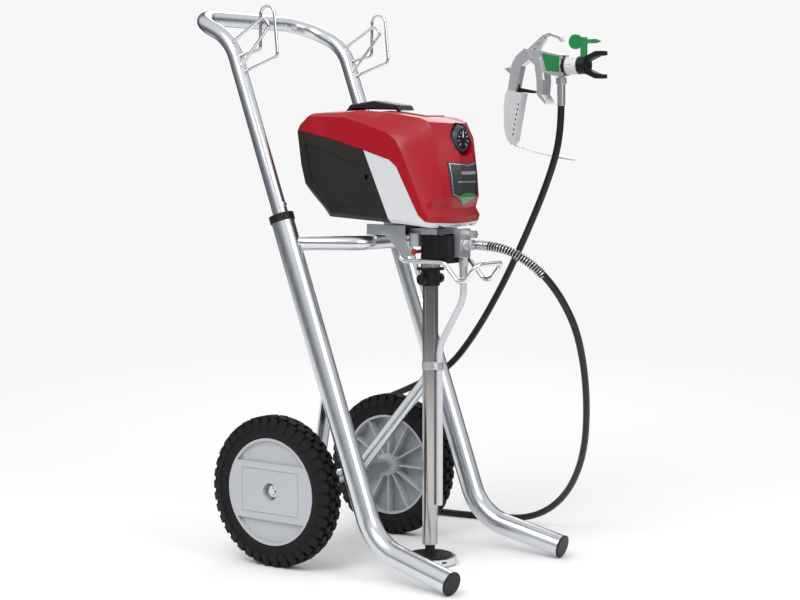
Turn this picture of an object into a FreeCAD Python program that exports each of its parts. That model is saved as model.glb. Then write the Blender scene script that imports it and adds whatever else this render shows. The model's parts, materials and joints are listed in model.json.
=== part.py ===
import FreeCAD, Part
import math
import os

from FreeCAD import Vector

# Airless paint sprayer on a two-wheeled cart: millimetres, +Z up, floor at z = 0.
# The cart's feet point to -Y, its wheels stand toward +Y, and x = 0 is its middle plane.

# ---- fits and gaps
RUN_FIT = 0.05          # radial clearance of a shaft or pin in its hole
SEAT_GAP = 0.15         # gap between pieces of one body that touch along a curve
MOVE_GAP = 0.4          # gap between pieces that move past each other

# ---- cart tubes
TUBE_R = 19.0
TUBE_WALL = 1.5
HALF_TRACK = 152.5      # x of the side tubes' centre lines
LEAN = math.radians(20.16)
FOOT_DROP = math.radians(13.2)
FOOT_SPLAY = math.radians(4.9)
BEND_Y = -123.8
BEND_Z = 57.3
BEND_R = 90.0
TUBE_TOP_Z = 585.0
CAP_LIP = 1.0           # how far a foot cap stands proud of its tube
CAP_T = 4.0
STRUT_R = 11.0
STRUT_TOP_Z = 312.0
STRUT_FOOT_X = 58.0
YOKE_R = 12.0
YOKE_Z = 541.0
YOKE_FRONT_Y = -42.0
YOKE_HALF = 75.0
YOKE_BEND_R = 45.0
FRONT = Vector(0, -math.cos(LEAN), math.sin(LEAN))

# ---- handle
HANDLE_R = 12.7
HANDLE_WALL = 1.5
HANDLE_BEND_Z = 878.3
CROSSBAR_Y = 270.5
CROSSBAR_Z = 919.2
CROSSBAR_HALF = 147.0
HANDLE_BEND_R = 78.0
CROSSBAR_BEND_R = 60.0
HANDLE_OVERLAP = 60.0   # length of leg left in the side tube when the handle is up
COLLAR_H = 20.0
BUTTON_R = 4.0
HOOK_WIRE_R = 2.5
BUTTON_UP = 17.0        # button's height above the side tube's top, along the leg
BUTTON_OUT = 2.6        # how far the button stands out of the leg

# ---- wheels
WHEEL_R = 127.0
TYRE_W = 45.0
RIM_R = 90.0
RIM_IN = 146.4          # x of the rim's inner and outer planes
RIM_OUT = 180.5
RIM_BAR_HALF = 48.0
AXLE_Y = 75.0
AXLE_R = 6.0
AXLE_TUBE_R = 12.5
AXLE_TUBE_HALF = 138.0
AXLE_END = RIM_OUT - 5
NUT_IN = RIM_OUT - 16 + MOVE_GAP

# ---- sprayer housing
HOUSING_W = 150.0
HOUSING_WALL = 3.0
PUMP_Y = -124.0
KNOB_R = 24.0
KNOB_L = 25.0
KNOB_Z = 712.0
KNOB_SEAT_Y = -163.0
BADGE_T = 2.0
GRIP_HALF = 20.0        # half width of the carry handle
SIDE = [(76, 756), (-11, 761), (-81, 757), (-150, 747), (-178, 738), (-191, 705), (-199, 650),
        (-200, 620), (-192, 590), (-186, 570), (-110, 575), (32, 583), (45, 598), (70, 621),
        (85, 637), (94, 669), (102, 726), (104, 731)]
FRONT_HALF = 50.0
PLAN_SIDE_Y = -138.0
RED_EDGE = [(115, 729), (104, 729), (27, 713), (-40, 695), (-94, 679), (-108, 668), (-138, 614),
            (-152, 590), (-165, 580), (-215, 569)]
BLACK_EDGE = [(-40, 695), (-102, 560)]
KNOB_POCKET = 38.0
HAND_POCKET_Y = (-70.0, 30.0)
HAND_POCKET_Z = 733.0
HAND_POCKET_HALF = 42.0
GLAND_Z = 700.0
GLAND_R = 9.0
GLAND_BORE_R = 4.2
GRIP_FEET = 10.0        # length of each end of the handle that stands on the housing
PLINTH_T = 3.0
PLINTH_FRONT_Y = -134.0
PLINTH_HALF = 26.0

# ---- drive and pump
MOTOR_R = 38.0
MOTOR_Z = 688.0
PINION_TEETH = 12
GEAR_TEETH = 60
MODULE = 1.5
GEAR_W = 12.0
CRANK_E = 8.0
CRANK_PIN_R = 5.0
PISTON_R = 7.0
PUMP_R = 16.0
BRACKET_HALF = 45.0
BRACKET_T = 3.0
DECK_Z = YOKE_Z + YOKE_R + SEAT_GAP     # underside of the bracket's deck
DECK_TOP = DECK_Z + BRACKET_T
GEAR_Z = MOTOR_Z - MODULE * (PINION_TEETH + GEAR_TEETH) / 2
PLATE_Y = (-82.0, -72.0)
GEAR_Y = (PLATE_Y[0] - MOVE_GAP - GEAR_W, PLATE_Y[0] - MOVE_GAP)
SHAFT_R = 5.0
GEAR_SHAFT_R = 8.0
MOTOR_Y = (PLATE_Y[1], 30.0)
PUMP_FOOT_Z = 500.0
PUMP_TOP_Z = 575.0
FOOT_T = 10.0
YOKE_T = 10.0
PUSHER_R = 3.0
PUSHER_Y = PUMP_Y + 1
PUSHER_Z = 528.0
PUSHER_TRAVEL = 3.0
BLOCK_Y = (-194.5, -182.0)
BLOCK_HALF = 14.5

# ---- suction and return
SUCTION_R = 13.0
SUCTION_WALL = 1.5
SUCTION_FOOT_Z = 34.0
STRAINER_R = 38.0
CAGE_R = 45.0
RETURN_R = 5.5
PAIL_WIRE_R = 4.0
PAIL_HALF = 38.0
SUCTION_TOP_Z = PUMP_FOOT_Z - 6
RETURN_Y = PUMP_Y - SUCTION_R - RETURN_R - 0.6
RETURN_TOP_Y = BLOCK_Y[0] + 4
RETURN_TOP_Z = 487.0

# ---- gun
GUN_X = 230.0
GUN_Y = -235.0          # y of the swivel's axis
GUN_Z = 837.0           # z of the barrel's axis
GUN_HALF = 12.0
BARREL_R = 14.0
NOSE_R = 12.5
SWIVEL_R = 9.0
NIPPLE_R = 5.0
TIP_STEM_R = 6.0
KEEPER_R = 1.2
SWIVEL_Z = (806.0, 817.0)
PIVOT = (-193.0, 846.0)         # trigger pivot (y, z)
LOCK_PIVOT = (-146.0, 798.0)
TIP_Y = -279.2
GUARD_Y = (-287.0, -271.4)
EAR_T = 2.2

# ---- hose
HOSE_R = 6.0
GUARD_R = 8.5
OUTLET_Z = 540.0
NUT_Y = (-218.0, -195.0)
# Route of the hose's middle, from the outlet nut, down to the floor, up and round to the gun.
HOSE = [(0, -218, 540), (0, -248, 540), (10, -284, 529), (35, -318, 500), (75, -335, 452), (128, -336, 385),
        (200, -310, 277), (278, -259, 157), (338, -185, 66), (366, -102, 14), (361, -18, 6.3),
        (344, 75, 6.3), (330, 163, 9), (317, 238, 35), (303, 280, 95), (294, 270, 166),
        (289, 205, 214), (287, 125, 247), (283, 38, 288), (268, -30, 355), (251, -98, 443),
        (238, -160, 543), (231, -211, 643), (230, GUN_Y, 717), (230, GUN_Y, 769)]
GUARD_POINTS = 4        # route points that the spring guard covers


# ---------------------------------------------------------------- helpers

def box(x0, x1, y0, y1, z0, z1):
    return Part.makeBox(x1 - x0, y1 - y0, z1 - z0, Vector(x0, y0, z0))


def rod(start, end, radius):
    """Solid cylinder between two points."""
    start, end = Vector(*start), Vector(*end)
    axis = end - start
    return Part.makeCylinder(radius, axis.Length, start, axis)


def ring(start, end, outer, inner):
    return rod(start, end, outer).cut(rod(start, end, inner))


def prism(points, axis, low, high):
    """Polygon in the plane across an axis (x: y,z; y: x,z; z: x,y), extruded from low to high."""
    place = {"x": lambda a, b: Vector(low, a, b),
             "y": lambda a, b: Vector(a, low, b),
             "z": lambda a, b: Vector(a, b, low)}[axis]
    corners = [place(a, b) for a, b in points]
    face = Part.Face(Part.makePolygon(corners + corners[:1]))
    travel = {"x": Vector(1, 0, 0), "y": Vector(0, 1, 0), "z": Vector(0, 0, 1)}[axis]
    return face.extrude(travel * (high - low))


def inset_outline(points, distance):
    """Polygon moved inward by a distance, side by side; points run either way round."""
    area = sum(a[0] * b[1] - b[0] * a[1] for a, b in zip(points, points[1:] + points[:1]))
    sign = 1 if area > 0 else -1
    moved = []
    for i, (px, py) in enumerate(points):
        ax, ay = points[i - 1]
        bx, by = points[(i + 1) % len(points)]
        d1 = Vector(px - ax, py - ay, 0).normalize()
        d2 = Vector(bx - px, by - py, 0).normalize()
        n1 = Vector(-d1.y, d1.x, 0) * sign
        n2 = Vector(-d2.y, d2.x, 0) * sign
        step = (n1 + n2) * (distance / (1 + n1.dot(n2)))
        moved.append((px + step.x, py + step.y))
    return moved


def path(points, radii):
    """Wire of straight runs joined by tangent arcs, one radius for each inner point."""
    points = [Vector(*p) for p in points]
    edges = []
    start = points[0]
    for i, radius in enumerate(radii, 1):
        into = (points[i] - points[i - 1]).normalize()
        away = (points[i + 1] - points[i]).normalize()
        half = into.getAngle(away) / 2
        reach = radius * math.tan(half)
        first = points[i] - into * reach
        last = points[i] + away * reach
        inward = (away - into).normalize()
        middle = points[i] + inward * (radius / math.cos(half) - radius)
        edges.append(Part.LineSegment(start, first).toShape())
        edges.append(Part.Arc(first, middle, last).toShape())
        start = last
    edges.append(Part.LineSegment(start, points[-1]).toShape())
    return Part.Wire(edges)


def sweep(points, radii, radius):
    """Round bar of a radius along a path."""
    spine = path(points, radii)
    begin = Vector(*points[0])
    circle = Part.Wire(Part.makeCircle(radius, begin, Vector(*points[1]) - begin))
    return spine.makePipeShell([circle], True, True)


def hexagon(start, end, flats):
    """Hexagonal bar between two points, by its size across flats."""
    start, end = Vector(*start), Vector(*end)
    axis = (end - start).normalize()
    side = axis.cross(Vector(0, 0, 1) if abs(axis.z) < 0.9 else Vector(1, 0, 0)).normalize()
    other = axis.cross(side)
    reach = flats / 2 / math.cos(math.pi / 6)
    corners = []
    for k in range(6):
        turn = math.radians(60 * k)
        corners.append(start + side * (reach * math.cos(turn)) + other * (reach * math.sin(turn)))
    return Part.Face(Part.makePolygon(corners + corners[:1])).extrude(end - start)


def spin_profile(points, axis_y, axis_z):
    """Solid of revolution about a line along X through (axis_y, axis_z); points are (x, radius)."""
    corners = [Vector(x, axis_y, axis_z + r) for x, r in points]
    face = Part.Face(Part.makePolygon(corners + corners[:1]))
    return face.revolve(Vector(0, axis_y, axis_z), Vector(1, 0, 0), 360)


def other_side(shape):
    return shape.mirror(Vector(0, 0, 0), Vector(1, 0, 0))


def fused(first, *rest):
    return first.fuse(list(rest)).removeSplitter()


def save(name, *solids):
    shape = solids[0] if len(solids) == 1 else Part.makeCompound(list(solids))
    print(f"{name}: {len(shape.Solids)} solids, valid {shape.isValid()}, {shape.Volume / 1000:.1f} cm3")
    shape.exportStep(f"parts/{name}.step")


def lean_y(z):
    """y of a side tube's centre line at a height."""
    return BEND_Y + (z - BEND_Z) * math.tan(LEAN)


def along_lean(z, distance, x=-HALF_TRACK):
    """Point on a side tube's centre line, a distance up it from a height."""
    return (x, lean_y(z) + distance * math.sin(LEAN), z + distance * math.cos(LEAN))


# ---------------------------------------------------------------- cart frame

def foot_end(side, back=0.0, radius_out=TUBE_R + CAP_LIP):
    """Centre of a foot's end face, where its cap's rim meets the floor, less a length back along it."""
    end_z = radius_out * math.cos(FOOT_DROP)
    length = (BEND_Z - end_z) / math.sin(FOOT_DROP) - back
    flat = length * math.cos(FOOT_DROP)
    return (side * (HALF_TRACK + flat * math.sin(FOOT_SPLAY)),
            BEND_Y - flat * math.cos(FOOT_SPLAY),
            BEND_Z - length * math.sin(FOOT_DROP))


def side_tube_solid(side, radius):
    top = (side * HALF_TRACK, lean_y(TUBE_TOP_Z), TUBE_TOP_Z)
    bend = (side * HALF_TRACK, BEND_Y, BEND_Z)
    return sweep([foot_end(side, CAP_T), bend, top], [BEND_R], radius)


def side_tube(side):
    return side_tube_solid(side, TUBE_R).cut(side_tube_solid(side, TUBE_R - TUBE_WALL))


def foot_cap(side):
    flange = rod(foot_end(side), foot_end(side, CAP_T), TUBE_R + CAP_LIP)
    plug = rod(foot_end(side, CAP_T), foot_end(side, CAP_T + 16), TUBE_R - TUBE_WALL - SEAT_GAP)
    return fused(flange, plug)


def strut(side):
    """Brace from the side tube down and inward to the axle tube."""
    top = (side * HALF_TRACK, lean_y(STRUT_TOP_Z), STRUT_TOP_Z)
    foot = (side * STRUT_FOOT_X, AXLE_Y, WHEEL_R)
    bar = rod(foot, top, STRUT_R)
    bar = bar.cut(side_tube_solid(side, TUBE_R + SEAT_GAP))
    return bar.cut(rod((-AXLE_TUBE_HALF, AXLE_Y, WHEEL_R), (AXLE_TUBE_HALF, AXLE_Y, WHEEL_R),
                       AXLE_TUBE_R + SEAT_GAP))


def cross_yoke():
    """Tube bent forward between the side tubes, which carries the pump bracket."""
    ends = lean_y(YOKE_Z)
    points = [(-HALF_TRACK, ends, YOKE_Z), (-YOKE_HALF, YOKE_FRONT_Y, YOKE_Z),
              (YOKE_HALF, YOKE_FRONT_Y, YOKE_Z), (HALF_TRACK, ends, YOKE_Z)]
    bar = sweep(points, [YOKE_BEND_R] * 2, YOKE_R)
    for side in (-1, 1):
        bar = bar.cut(side_tube_solid(side, TUBE_R + SEAT_GAP))
    return bar


def pump_bracket():
    """Folded steel: a deck on the yoke, open round the pump, and two cheeks that reach forward."""
    deck = box(-BRACKET_HALF, BRACKET_HALF, YOKE_FRONT_Y - 62, YOKE_FRONT_Y + 17, DECK_Z, DECK_Z + BRACKET_T)
    cheek = [(YOKE_FRONT_Y + 17, DECK_Z + 18), (YOKE_FRONT_Y - 62, DECK_Z + 18),
             (YOKE_FRONT_Y - 62, DECK_Z - 6), (YOKE_FRONT_Y - 79, DECK_Z - 32),
             (YOKE_FRONT_Y - 60, DECK_Z - 35), (YOKE_FRONT_Y - 22, DECK_Z), (YOKE_FRONT_Y + 17, DECK_Z)]
    near = prism(cheek, "x", -BRACKET_HALF, -BRACKET_HALF + BRACKET_T)
    return fused(deck, near, other_side(near))


# ---------------------------------------------------------------- handle

def handle_spine():
    legs = []
    for side in (-1, 1):
        foot = along_lean(TUBE_TOP_Z, -HANDLE_OVERLAP, side * HALF_TRACK)
        knee = (side * HALF_TRACK, lean_y(HANDLE_BEND_Z), HANDLE_BEND_Z)
        corner = (side * CROSSBAR_HALF, CROSSBAR_Y, CROSSBAR_Z)
        legs.append([foot, knee, corner])
    return legs[0] + legs[1][::-1]


def button_point(side, out):
    base = Vector(*along_lean(TUBE_TOP_Z, BUTTON_UP, side * HALF_TRACK))
    return tuple(base + FRONT * out)


def handle_tube():
    radii = [HANDLE_BEND_R, CROSSBAR_BEND_R, CROSSBAR_BEND_R, HANDLE_BEND_R]
    tube = sweep(handle_spine(), radii, HANDLE_R).cut(sweep(handle_spine(), radii, HANDLE_R - HANDLE_WALL))
    for side in (-1, 1):
        tube = tube.cut(rod(button_point(side, 0), button_point(side, HANDLE_R + 5), BUTTON_R + RUN_FIT))
    return tube


def snap_button(side):
    inner = HANDLE_R - HANDLE_WALL
    head = rod(button_point(side, inner - 5), button_point(side, HANDLE_R + BUTTON_OUT), BUTTON_R)
    flange = rod(button_point(side, inner - 7), button_point(side, inner - 4), BUTTON_R + 1.5)
    return fused(head, flange)


def tube_collar(side):
    """Bush on top of a side tube that the handle leg slides through."""
    x = side * HALF_TRACK
    skirt = rod(along_lean(TUBE_TOP_Z, -COLLAR_H / 2, x), along_lean(TUBE_TOP_Z, 3, x), TUBE_R + 2)
    skirt = skirt.cut(rod(along_lean(TUBE_TOP_Z, -COLLAR_H, x), along_lean(TUBE_TOP_Z, 0, x),
                          TUBE_R + SEAT_GAP))
    return skirt.cut(rod(along_lean(TUBE_TOP_Z, -COLLAR_H, x), along_lean(TUBE_TOP_Z, COLLAR_H, x),
                         HANDLE_R + 0.1))


def hose_hook(side):
    """Two bent wires welded to the front of a handle leg, one standing up and one leaning forward."""
    x = side * HALF_TRACK
    knee = HANDLE_BEND_Z
    upright = [(x, lean_y(knee - 29), knee - 29), (x, 113, knee - 19), (x, 112, knee + 52),
               (x, 84, knee + 52), (x, 76, knee - 30), (x, lean_y(knee - 57), knee - 57)]
    x_side = x - HOOK_WIRE_R * 2 - 1.5
    leaning = [(x_side, lean_y(knee - 8), knee - 8), (x_side, 103, knee + 33),
               (x_side, 86, knee + 22), (x_side, lean_y(knee - 54), knee - 54)]
    leg = rod(along_lean(TUBE_TOP_Z, 0, x), (x, lean_y(knee + 30), knee + 30), HANDLE_R + SEAT_GAP)
    wires = [sweep(upright, [8, 13.5, 13.5, 8], HOOK_WIRE_R), sweep(leaning, [8, 8], HOOK_WIRE_R)]
    return [longest_solid(wire.cut(leg)) for wire in wires]


def longest_solid(shape):
    return max(shape.Solids, key=lambda solid: solid.Volume)


# ---------------------------------------------------------------- wheels

def rim(side):
    """Moulded rim: barrel, web, a raised bar across the outer face, hub, and ribs inside."""
    def at(x):
        return (side * x, AXLE_Y, WHEEL_R)
    web_in, web_out = RIM_OUT - 12, RIM_OUT - 6
    hub_in = RIM_IN - 4
    barrel = ring(at(RIM_IN), at(RIM_OUT), RIM_R, RIM_R - 4)
    web = rod(at(web_in), at(web_out), RIM_R - 2)
    hub = rod(at(hub_in), at(web_out), 20)
    bar = box(min(side * web_in, side * RIM_OUT), max(side * web_in, side * RIM_OUT),
              AXLE_Y - RIM_R, AXLE_Y + RIM_R, WHEEL_R - RIM_BAR_HALF, WHEEL_R + RIM_BAR_HALF)
    bar = bar.common(rod(at(web_in), at(RIM_OUT), RIM_R - 2))
    ribs = []
    for k in range(12):
        rib = box(min(side * (RIM_IN + 3), side * web_out), max(side * (RIM_IN + 3), side * web_out),
                  AXLE_Y - 1.5, AXLE_Y + 1.5, WHEEL_R + 15, WHEEL_R + RIM_R - 2)
        rib.rotate(Vector(0, AXLE_Y, WHEEL_R), Vector(1, 0, 0), 30 * k)
        ribs.append(rib)
    body = fused(barrel, web, hub, bar, *ribs)
    body = body.cut(rod(at(RIM_OUT - 16), at(RIM_OUT + 1), 15))
    return body.cut(rod(at(hub_in - 1), at(RIM_OUT), AXLE_R + RUN_FIT))


def tyre(side):
    """Tyre with a rounded section, on the rim's barrel."""
    middle = side * (RIM_IN + RIM_OUT) / 2
    bead = (RIM_OUT - RIM_IN) / 2
    half = TYRE_W / 2
    wall = WHEEL_R - RIM_R
    profile = [(bead, 0.15), (half - 2, wall * 0.2), (half, wall * 0.43), (half, wall * 0.76),
               (half - 4.5, wall * 0.92), (half - 10.5, wall)]
    points = [(middle + x, RIM_R + r) for x, r in profile]
    points += [(middle - x, RIM_R + r) for x, r in reversed(profile)]
    return spin_profile(points, AXLE_Y, WHEEL_R)


def axle_nuts():
    """Nut in each rim's hub recess, and a washer between each hub and the axle tube."""
    pieces = []
    for side in (-1, 1):
        def at(x):
            return (side * x, AXLE_Y, WHEEL_R)
        pieces.append(hexagon(at(NUT_IN), at(NUT_IN + 8), 19).cut(rod(at(NUT_IN - 1), at(NUT_IN + 9),
                                                                     AXLE_R + SEAT_GAP)))
        pieces.append(ring(at(AXLE_TUBE_HALF), at(RIM_IN - 4 - MOVE_GAP), 11, AXLE_R + SEAT_GAP))
    return pieces


# ---------------------------------------------------------------- sprayer housing

# Side outline of the whole housing (y, z) and its plan (x, y): the front is bevelled and bowed.


def plan_outline():
    half = HOUSING_W / 2
    return [(-half, 120), (-half, PLAN_SIDE_Y), (-FRONT_HALF, -187), (-20, -198), (20, -198),
            (FRONT_HALF, -187), (half, PLAN_SIDE_Y), (half, 120)]


def housing_form(inset):
    """The housing's whole form, or its hollow when inset by the wall."""
    half = HOUSING_W / 2 - inset
    form = prism(inset_outline(SIDE, inset), "x", -half, half)
    form = form.common(prism(inset_outline(plan_outline(), inset), "z", 500, 800))
    pocket = KNOB_POCKET + inset
    form = form.cut(rod((0, -300, KNOB_Z), (0, KNOB_SEAT_Y + inset, KNOB_Z), pocket - 6))
    form = form.cut(box(-HAND_POCKET_HALF - inset, HAND_POCKET_HALF + inset, HAND_POCKET_Y[0] - inset,
                        HAND_POCKET_Y[1] + inset, HAND_POCKET_Z - inset, 800))
    return form


def housing_shells():
    """Red top, light base and black rear shells, cut from one hollow form along two seams."""
    hollow = housing_form(0).cut(housing_form(HOUSING_WALL))
    high = prism(RED_EDGE + [(-215, 800), (115, 800)], "x", -100, 100)
    behind = prism([BLACK_EDGE[0], BLACK_EDGE[1], (115, 560), (115, 800), (-40, 800)], "x", -100, 100)
    top = hollow.common(high)
    low = hollow.cut(high)
    rear = low.common(behind)
    base = low.cut(behind)
    return top, base, rear


def with_openings(top, base, rear):
    """Holes for the knob's spindle, the pump and bracket below, and the lead gland behind."""
    spindle = rod((0, KNOB_SEAT_Y - 5, KNOB_Z), (0, KNOB_SEAT_Y + 10, KNOB_Z), 5)
    below = box(-BRACKET_HALF - 4, BRACKET_HALF + 4, -176, -22, 560, 592)
    gland = rod((0, 80, GLAND_Z), (0, 120, GLAND_Z), GLAND_R + SEAT_GAP)
    return top.cut(spindle), base.cut(below), rear.cut(below).cut(gland)


def front_badge():
    """Shield plate that follows the bowed front."""
    shield = [(-41, 676), (0, 672), (41, 676), (36, 622), (0, 604), (-36, 622)]
    cutter = prism(shield, "y", -230, -150)
    plate = housing_form(0)
    plate.translate(Vector(0, -BADGE_T, 0))
    return longest_solid(plate.common(cutter).cut(housing_form(0)))


def pressure_knob():
    """Ribbed knob on a spindle, with a dished face."""
    back = KNOB_SEAT_Y - MOVE_GAP
    face = back - KNOB_L
    body = rod((0, back, KNOB_Z), (0, face + 6, KNOB_Z), KNOB_R - 1.5)
    cone = Part.makeCone(KNOB_R - 1.5, KNOB_R - 5, 6, Vector(0, face + 6, KNOB_Z), Vector(0, -1, 0))
    grips = []
    for k in range(12):
        grip = rod((0, back - 1, KNOB_Z + KNOB_R - 3), (0, face + 7, KNOB_Z + KNOB_R - 3), 3)
        grip.rotate(Vector(0, 0, KNOB_Z), Vector(0, 1, 0), 30 * k)
        grips.append(grip)
    spindle = rod((0, back, KNOB_Z), (0, KNOB_SEAT_Y + 14, KNOB_Z), 3)
    return fused(body, cone, spindle, *grips)


def control_board():
    """Circuit board behind the knob, with the potentiometer that its spindle turns."""
    board = box(-40, 40, KNOB_SEAT_Y + 17, KNOB_SEAT_Y + 19, KNOB_Z - 22, KNOB_Z + 18)
    pot = ring((0, KNOB_SEAT_Y + 7, KNOB_Z), (0, KNOB_SEAT_Y + 17, KNOB_Z), 8, 3 + RUN_FIT)
    chip = box(-34, -16, KNOB_SEAT_Y + 19, KNOB_SEAT_Y + 27, KNOB_Z - 16, KNOB_Z + 8)
    return fused(board, pot, chip)


def top_z(y):
    """Height of the housing's top at a place along it."""
    top = SIDE[:5]
    for (y0, z0), (y1, z1) in zip(top, top[1:]):
        if y1 <= y <= y0:
            return z0 + (z1 - z0) * (y - y0) / (y1 - y0)
    return top[-1][1]


def carry_handle():
    """Bridge over the hand pocket, with an angular top and a foot at each end."""
    back, front = HAND_POCKET_Y[1] + GRIP_FEET, HAND_POCKET_Y[0] - GRIP_FEET
    middle = (back + front) / 2
    crown = top_z(middle) + 16
    outline = [(back, top_z(back)), (back - 11, crown - 6), (middle, crown), (front + 7, crown - 8),
               (front, top_z(front)), (front + GRIP_FEET, top_z(front + GRIP_FEET)),
               (front + GRIP_FEET + 6, crown - 16), (back - GRIP_FEET - 8, crown - 14),
               (back - GRIP_FEET, top_z(back - GRIP_FEET))]
    return prism(outline, "x", -GRIP_HALF, GRIP_HALF)


def handle_plinth():
    """Light strip on the top, forward of the handle's front foot."""
    back = SIDE[2][0] - MOVE_GAP
    below = [(back, top_z(back)), (PLINTH_FRONT_Y, top_z(PLINTH_FRONT_Y))]
    above = [(y, z + PLINTH_T) for y, z in reversed(below)]
    return prism(below + above, "x", -PLINTH_HALF, PLINTH_HALF)


# ---------------------------------------------------------------- motor and drive


def gear_solid(teeth, addendum, phase, y0, y1, z):
    """Involute spur gear about an axis along Y, with backlash taken off each flank."""
    pitch_r = MODULE * teeth / 2
    base_r = pitch_r * math.cos(math.radians(20))
    tip_r = pitch_r + addendum * MODULE
    root_r = pitch_r - 1.3 * MODULE
    half_at_pitch = math.pi / (2 * teeth) - 0.12 / pitch_r
    involute = math.tan(math.radians(20)) - math.radians(20)

    def half_angle(r):
        press = math.acos(min(1.0, base_r / r))
        return half_at_pitch + involute - (math.tan(press) - press)

    radii = [root_r] + [max(base_r, root_r) + (tip_r - max(base_r, root_r)) * k / 4 for k in range(5)]
    corners = []
    for k in range(teeth):
        middle = math.radians(phase) + 2 * math.pi * k / teeth
        flank = [(r, half_angle(max(r, base_r))) for r in radii]
        for r, half in flank:
            corners.append((r * math.cos(middle - half), z + r * math.sin(middle - half)))
        for r, half in reversed(flank):
            corners.append((r * math.cos(middle + half), z + r * math.sin(middle + half)))
    return prism(corners, "y", y0, y1)


def gearbox():
    """Casting: a plate that carries motor and gear, and a foot that clamps the pump."""
    half = BRACKET_HALF - BRACKET_T - 1
    plate = box(-half, half, PLATE_Y[0], PLATE_Y[1], DECK_TOP, MOTOR_Z + MOTOR_R)
    foot = box(-30, 30, PUMP_Y - PUMP_R - 18, YOKE_FRONT_Y + 14, DECK_TOP, DECK_TOP + FOOT_T)
    gusset = [(PLATE_Y[0], DECK_TOP + FOOT_T), (PLATE_Y[0] - 25, DECK_TOP + FOOT_T),
              (PLATE_Y[0], DECK_TOP + FOOT_T + 20)]
    web = prism(gusset, "x", -30, -24)
    boss_y = YOKE_FRONT_Y - 73
    bosses = [rod((x, boss_y, DECK_TOP + 2), (x, boss_y, DECK_TOP - 20), 10) for x in (-31, 31)]
    body = fused(plate, foot, web, other_side(web), *bosses)
    body = body.cut(rod((0, PUMP_Y, DECK_Z - 30), (0, PUMP_Y, DECK_TOP + 30), PUMP_R + SEAT_GAP))
    for z, r in ((MOTOR_Z, SHAFT_R), (GEAR_Z, GEAR_SHAFT_R)):
        body = body.cut(rod((0, PLATE_Y[0] - 1, z), (0, PLATE_Y[1] + 1, z), r + RUN_FIT))
    return body


def motor_case():
    shell = ring((0, MOTOR_Y[0], MOTOR_Z), (0, MOTOR_Y[1], MOTOR_Z), MOTOR_R, MOTOR_R - 4)
    bell = ring((0, MOTOR_Y[1] - 4, MOTOR_Z), (0, MOTOR_Y[1], MOTOR_Z), MOTOR_R - 1, SHAFT_R + RUN_FIT)
    return fused(shell, bell)


def motor_armature():
    """Shaft, wound rotor, commutator, and the pinion cut on the shaft's front end."""
    shaft = rod((0, GEAR_Y[0], MOTOR_Z), (0, MOTOR_Y[1] + 22, MOTOR_Z), SHAFT_R)
    rotor = rod((0, MOTOR_Y[0] + 8, MOTOR_Z), (0, MOTOR_Y[1] - 30, MOTOR_Z), MOTOR_R - 10)
    commutator = rod((0, MOTOR_Y[1] - 30, MOTOR_Z), (0, MOTOR_Y[1] - 14, MOTOR_Z), 12)
    pinion = gear_solid(PINION_TEETH, 0.9, 15, GEAR_Y[0], GEAR_Y[1], MOTOR_Z)
    return fused(shaft, rotor, commutator, pinion)


def cooling_fan():
    hub = rod((0, MOTOR_Y[1] + 5, MOTOR_Z), (0, MOTOR_Y[1] + 20, MOTOR_Z), 10)
    disc = rod((0, MOTOR_Y[1] + 5, MOTOR_Z), (0, MOTOR_Y[1] + 7, MOTOR_Z), MOTOR_R - 3)
    blades = []
    for k in range(9):
        blade = box(-1, 1, MOTOR_Y[1] + 5, MOTOR_Y[1] + 18, MOTOR_Z + 9, MOTOR_Z + MOTOR_R - 3)
        blade.rotate(Vector(0, 0, MOTOR_Z), Vector(0, 1, 0), 40 * k)
        blades.append(blade)
    wheel = fused(hub, disc, *blades)
    return wheel.cut(rod((0, MOTOR_Y[1], MOTOR_Z), (0, MOTOR_Y[1] + 30, MOTOR_Z), SHAFT_R + SEAT_GAP))


def drive_gear():
    """Gear on its shaft, with the eccentric pin that drives the piston's yoke."""
    wheel = gear_solid(GEAR_TEETH, 0.8, 0, GEAR_Y[0], GEAR_Y[1], GEAR_Z)
    shaft = rod((0, GEAR_Y[1] - 1, GEAR_Z), (0, PLATE_Y[1] + 6, GEAR_Z), GEAR_SHAFT_R)
    pin = rod((0, GEAR_Y[0] + 1, GEAR_Z - CRANK_E), (0, PUMP_Y - YOKE_T / 2, GEAR_Z - CRANK_E), CRANK_PIN_R)
    return fused(wheel, shaft, pin)


def piston_yoke():
    """Piston rod under an open yoke; its window clears the pin at every angle of gear and height."""
    low = GEAR_Z - 3 * CRANK_E - CRANK_PIN_R - MOVE_GAP
    high = GEAR_Z + CRANK_E + CRANK_PIN_R + MOVE_GAP
    half = CRANK_E + CRANK_PIN_R + MOVE_GAP
    y0, y1 = PUMP_Y - YOKE_T / 2, PUMP_Y + YOKE_T / 2
    frame = box(-half - 6, half + 6, y0, y1, low - 6, high + 6).cut(box(-half, half, y0 - 1, y1 + 1, low, high))
    piston = rod((0, PUMP_Y, low - 3), (0, PUMP_Y, PUMP_FOOT_Z + 12), PISTON_R)
    return fused(frame, piston)


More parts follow.
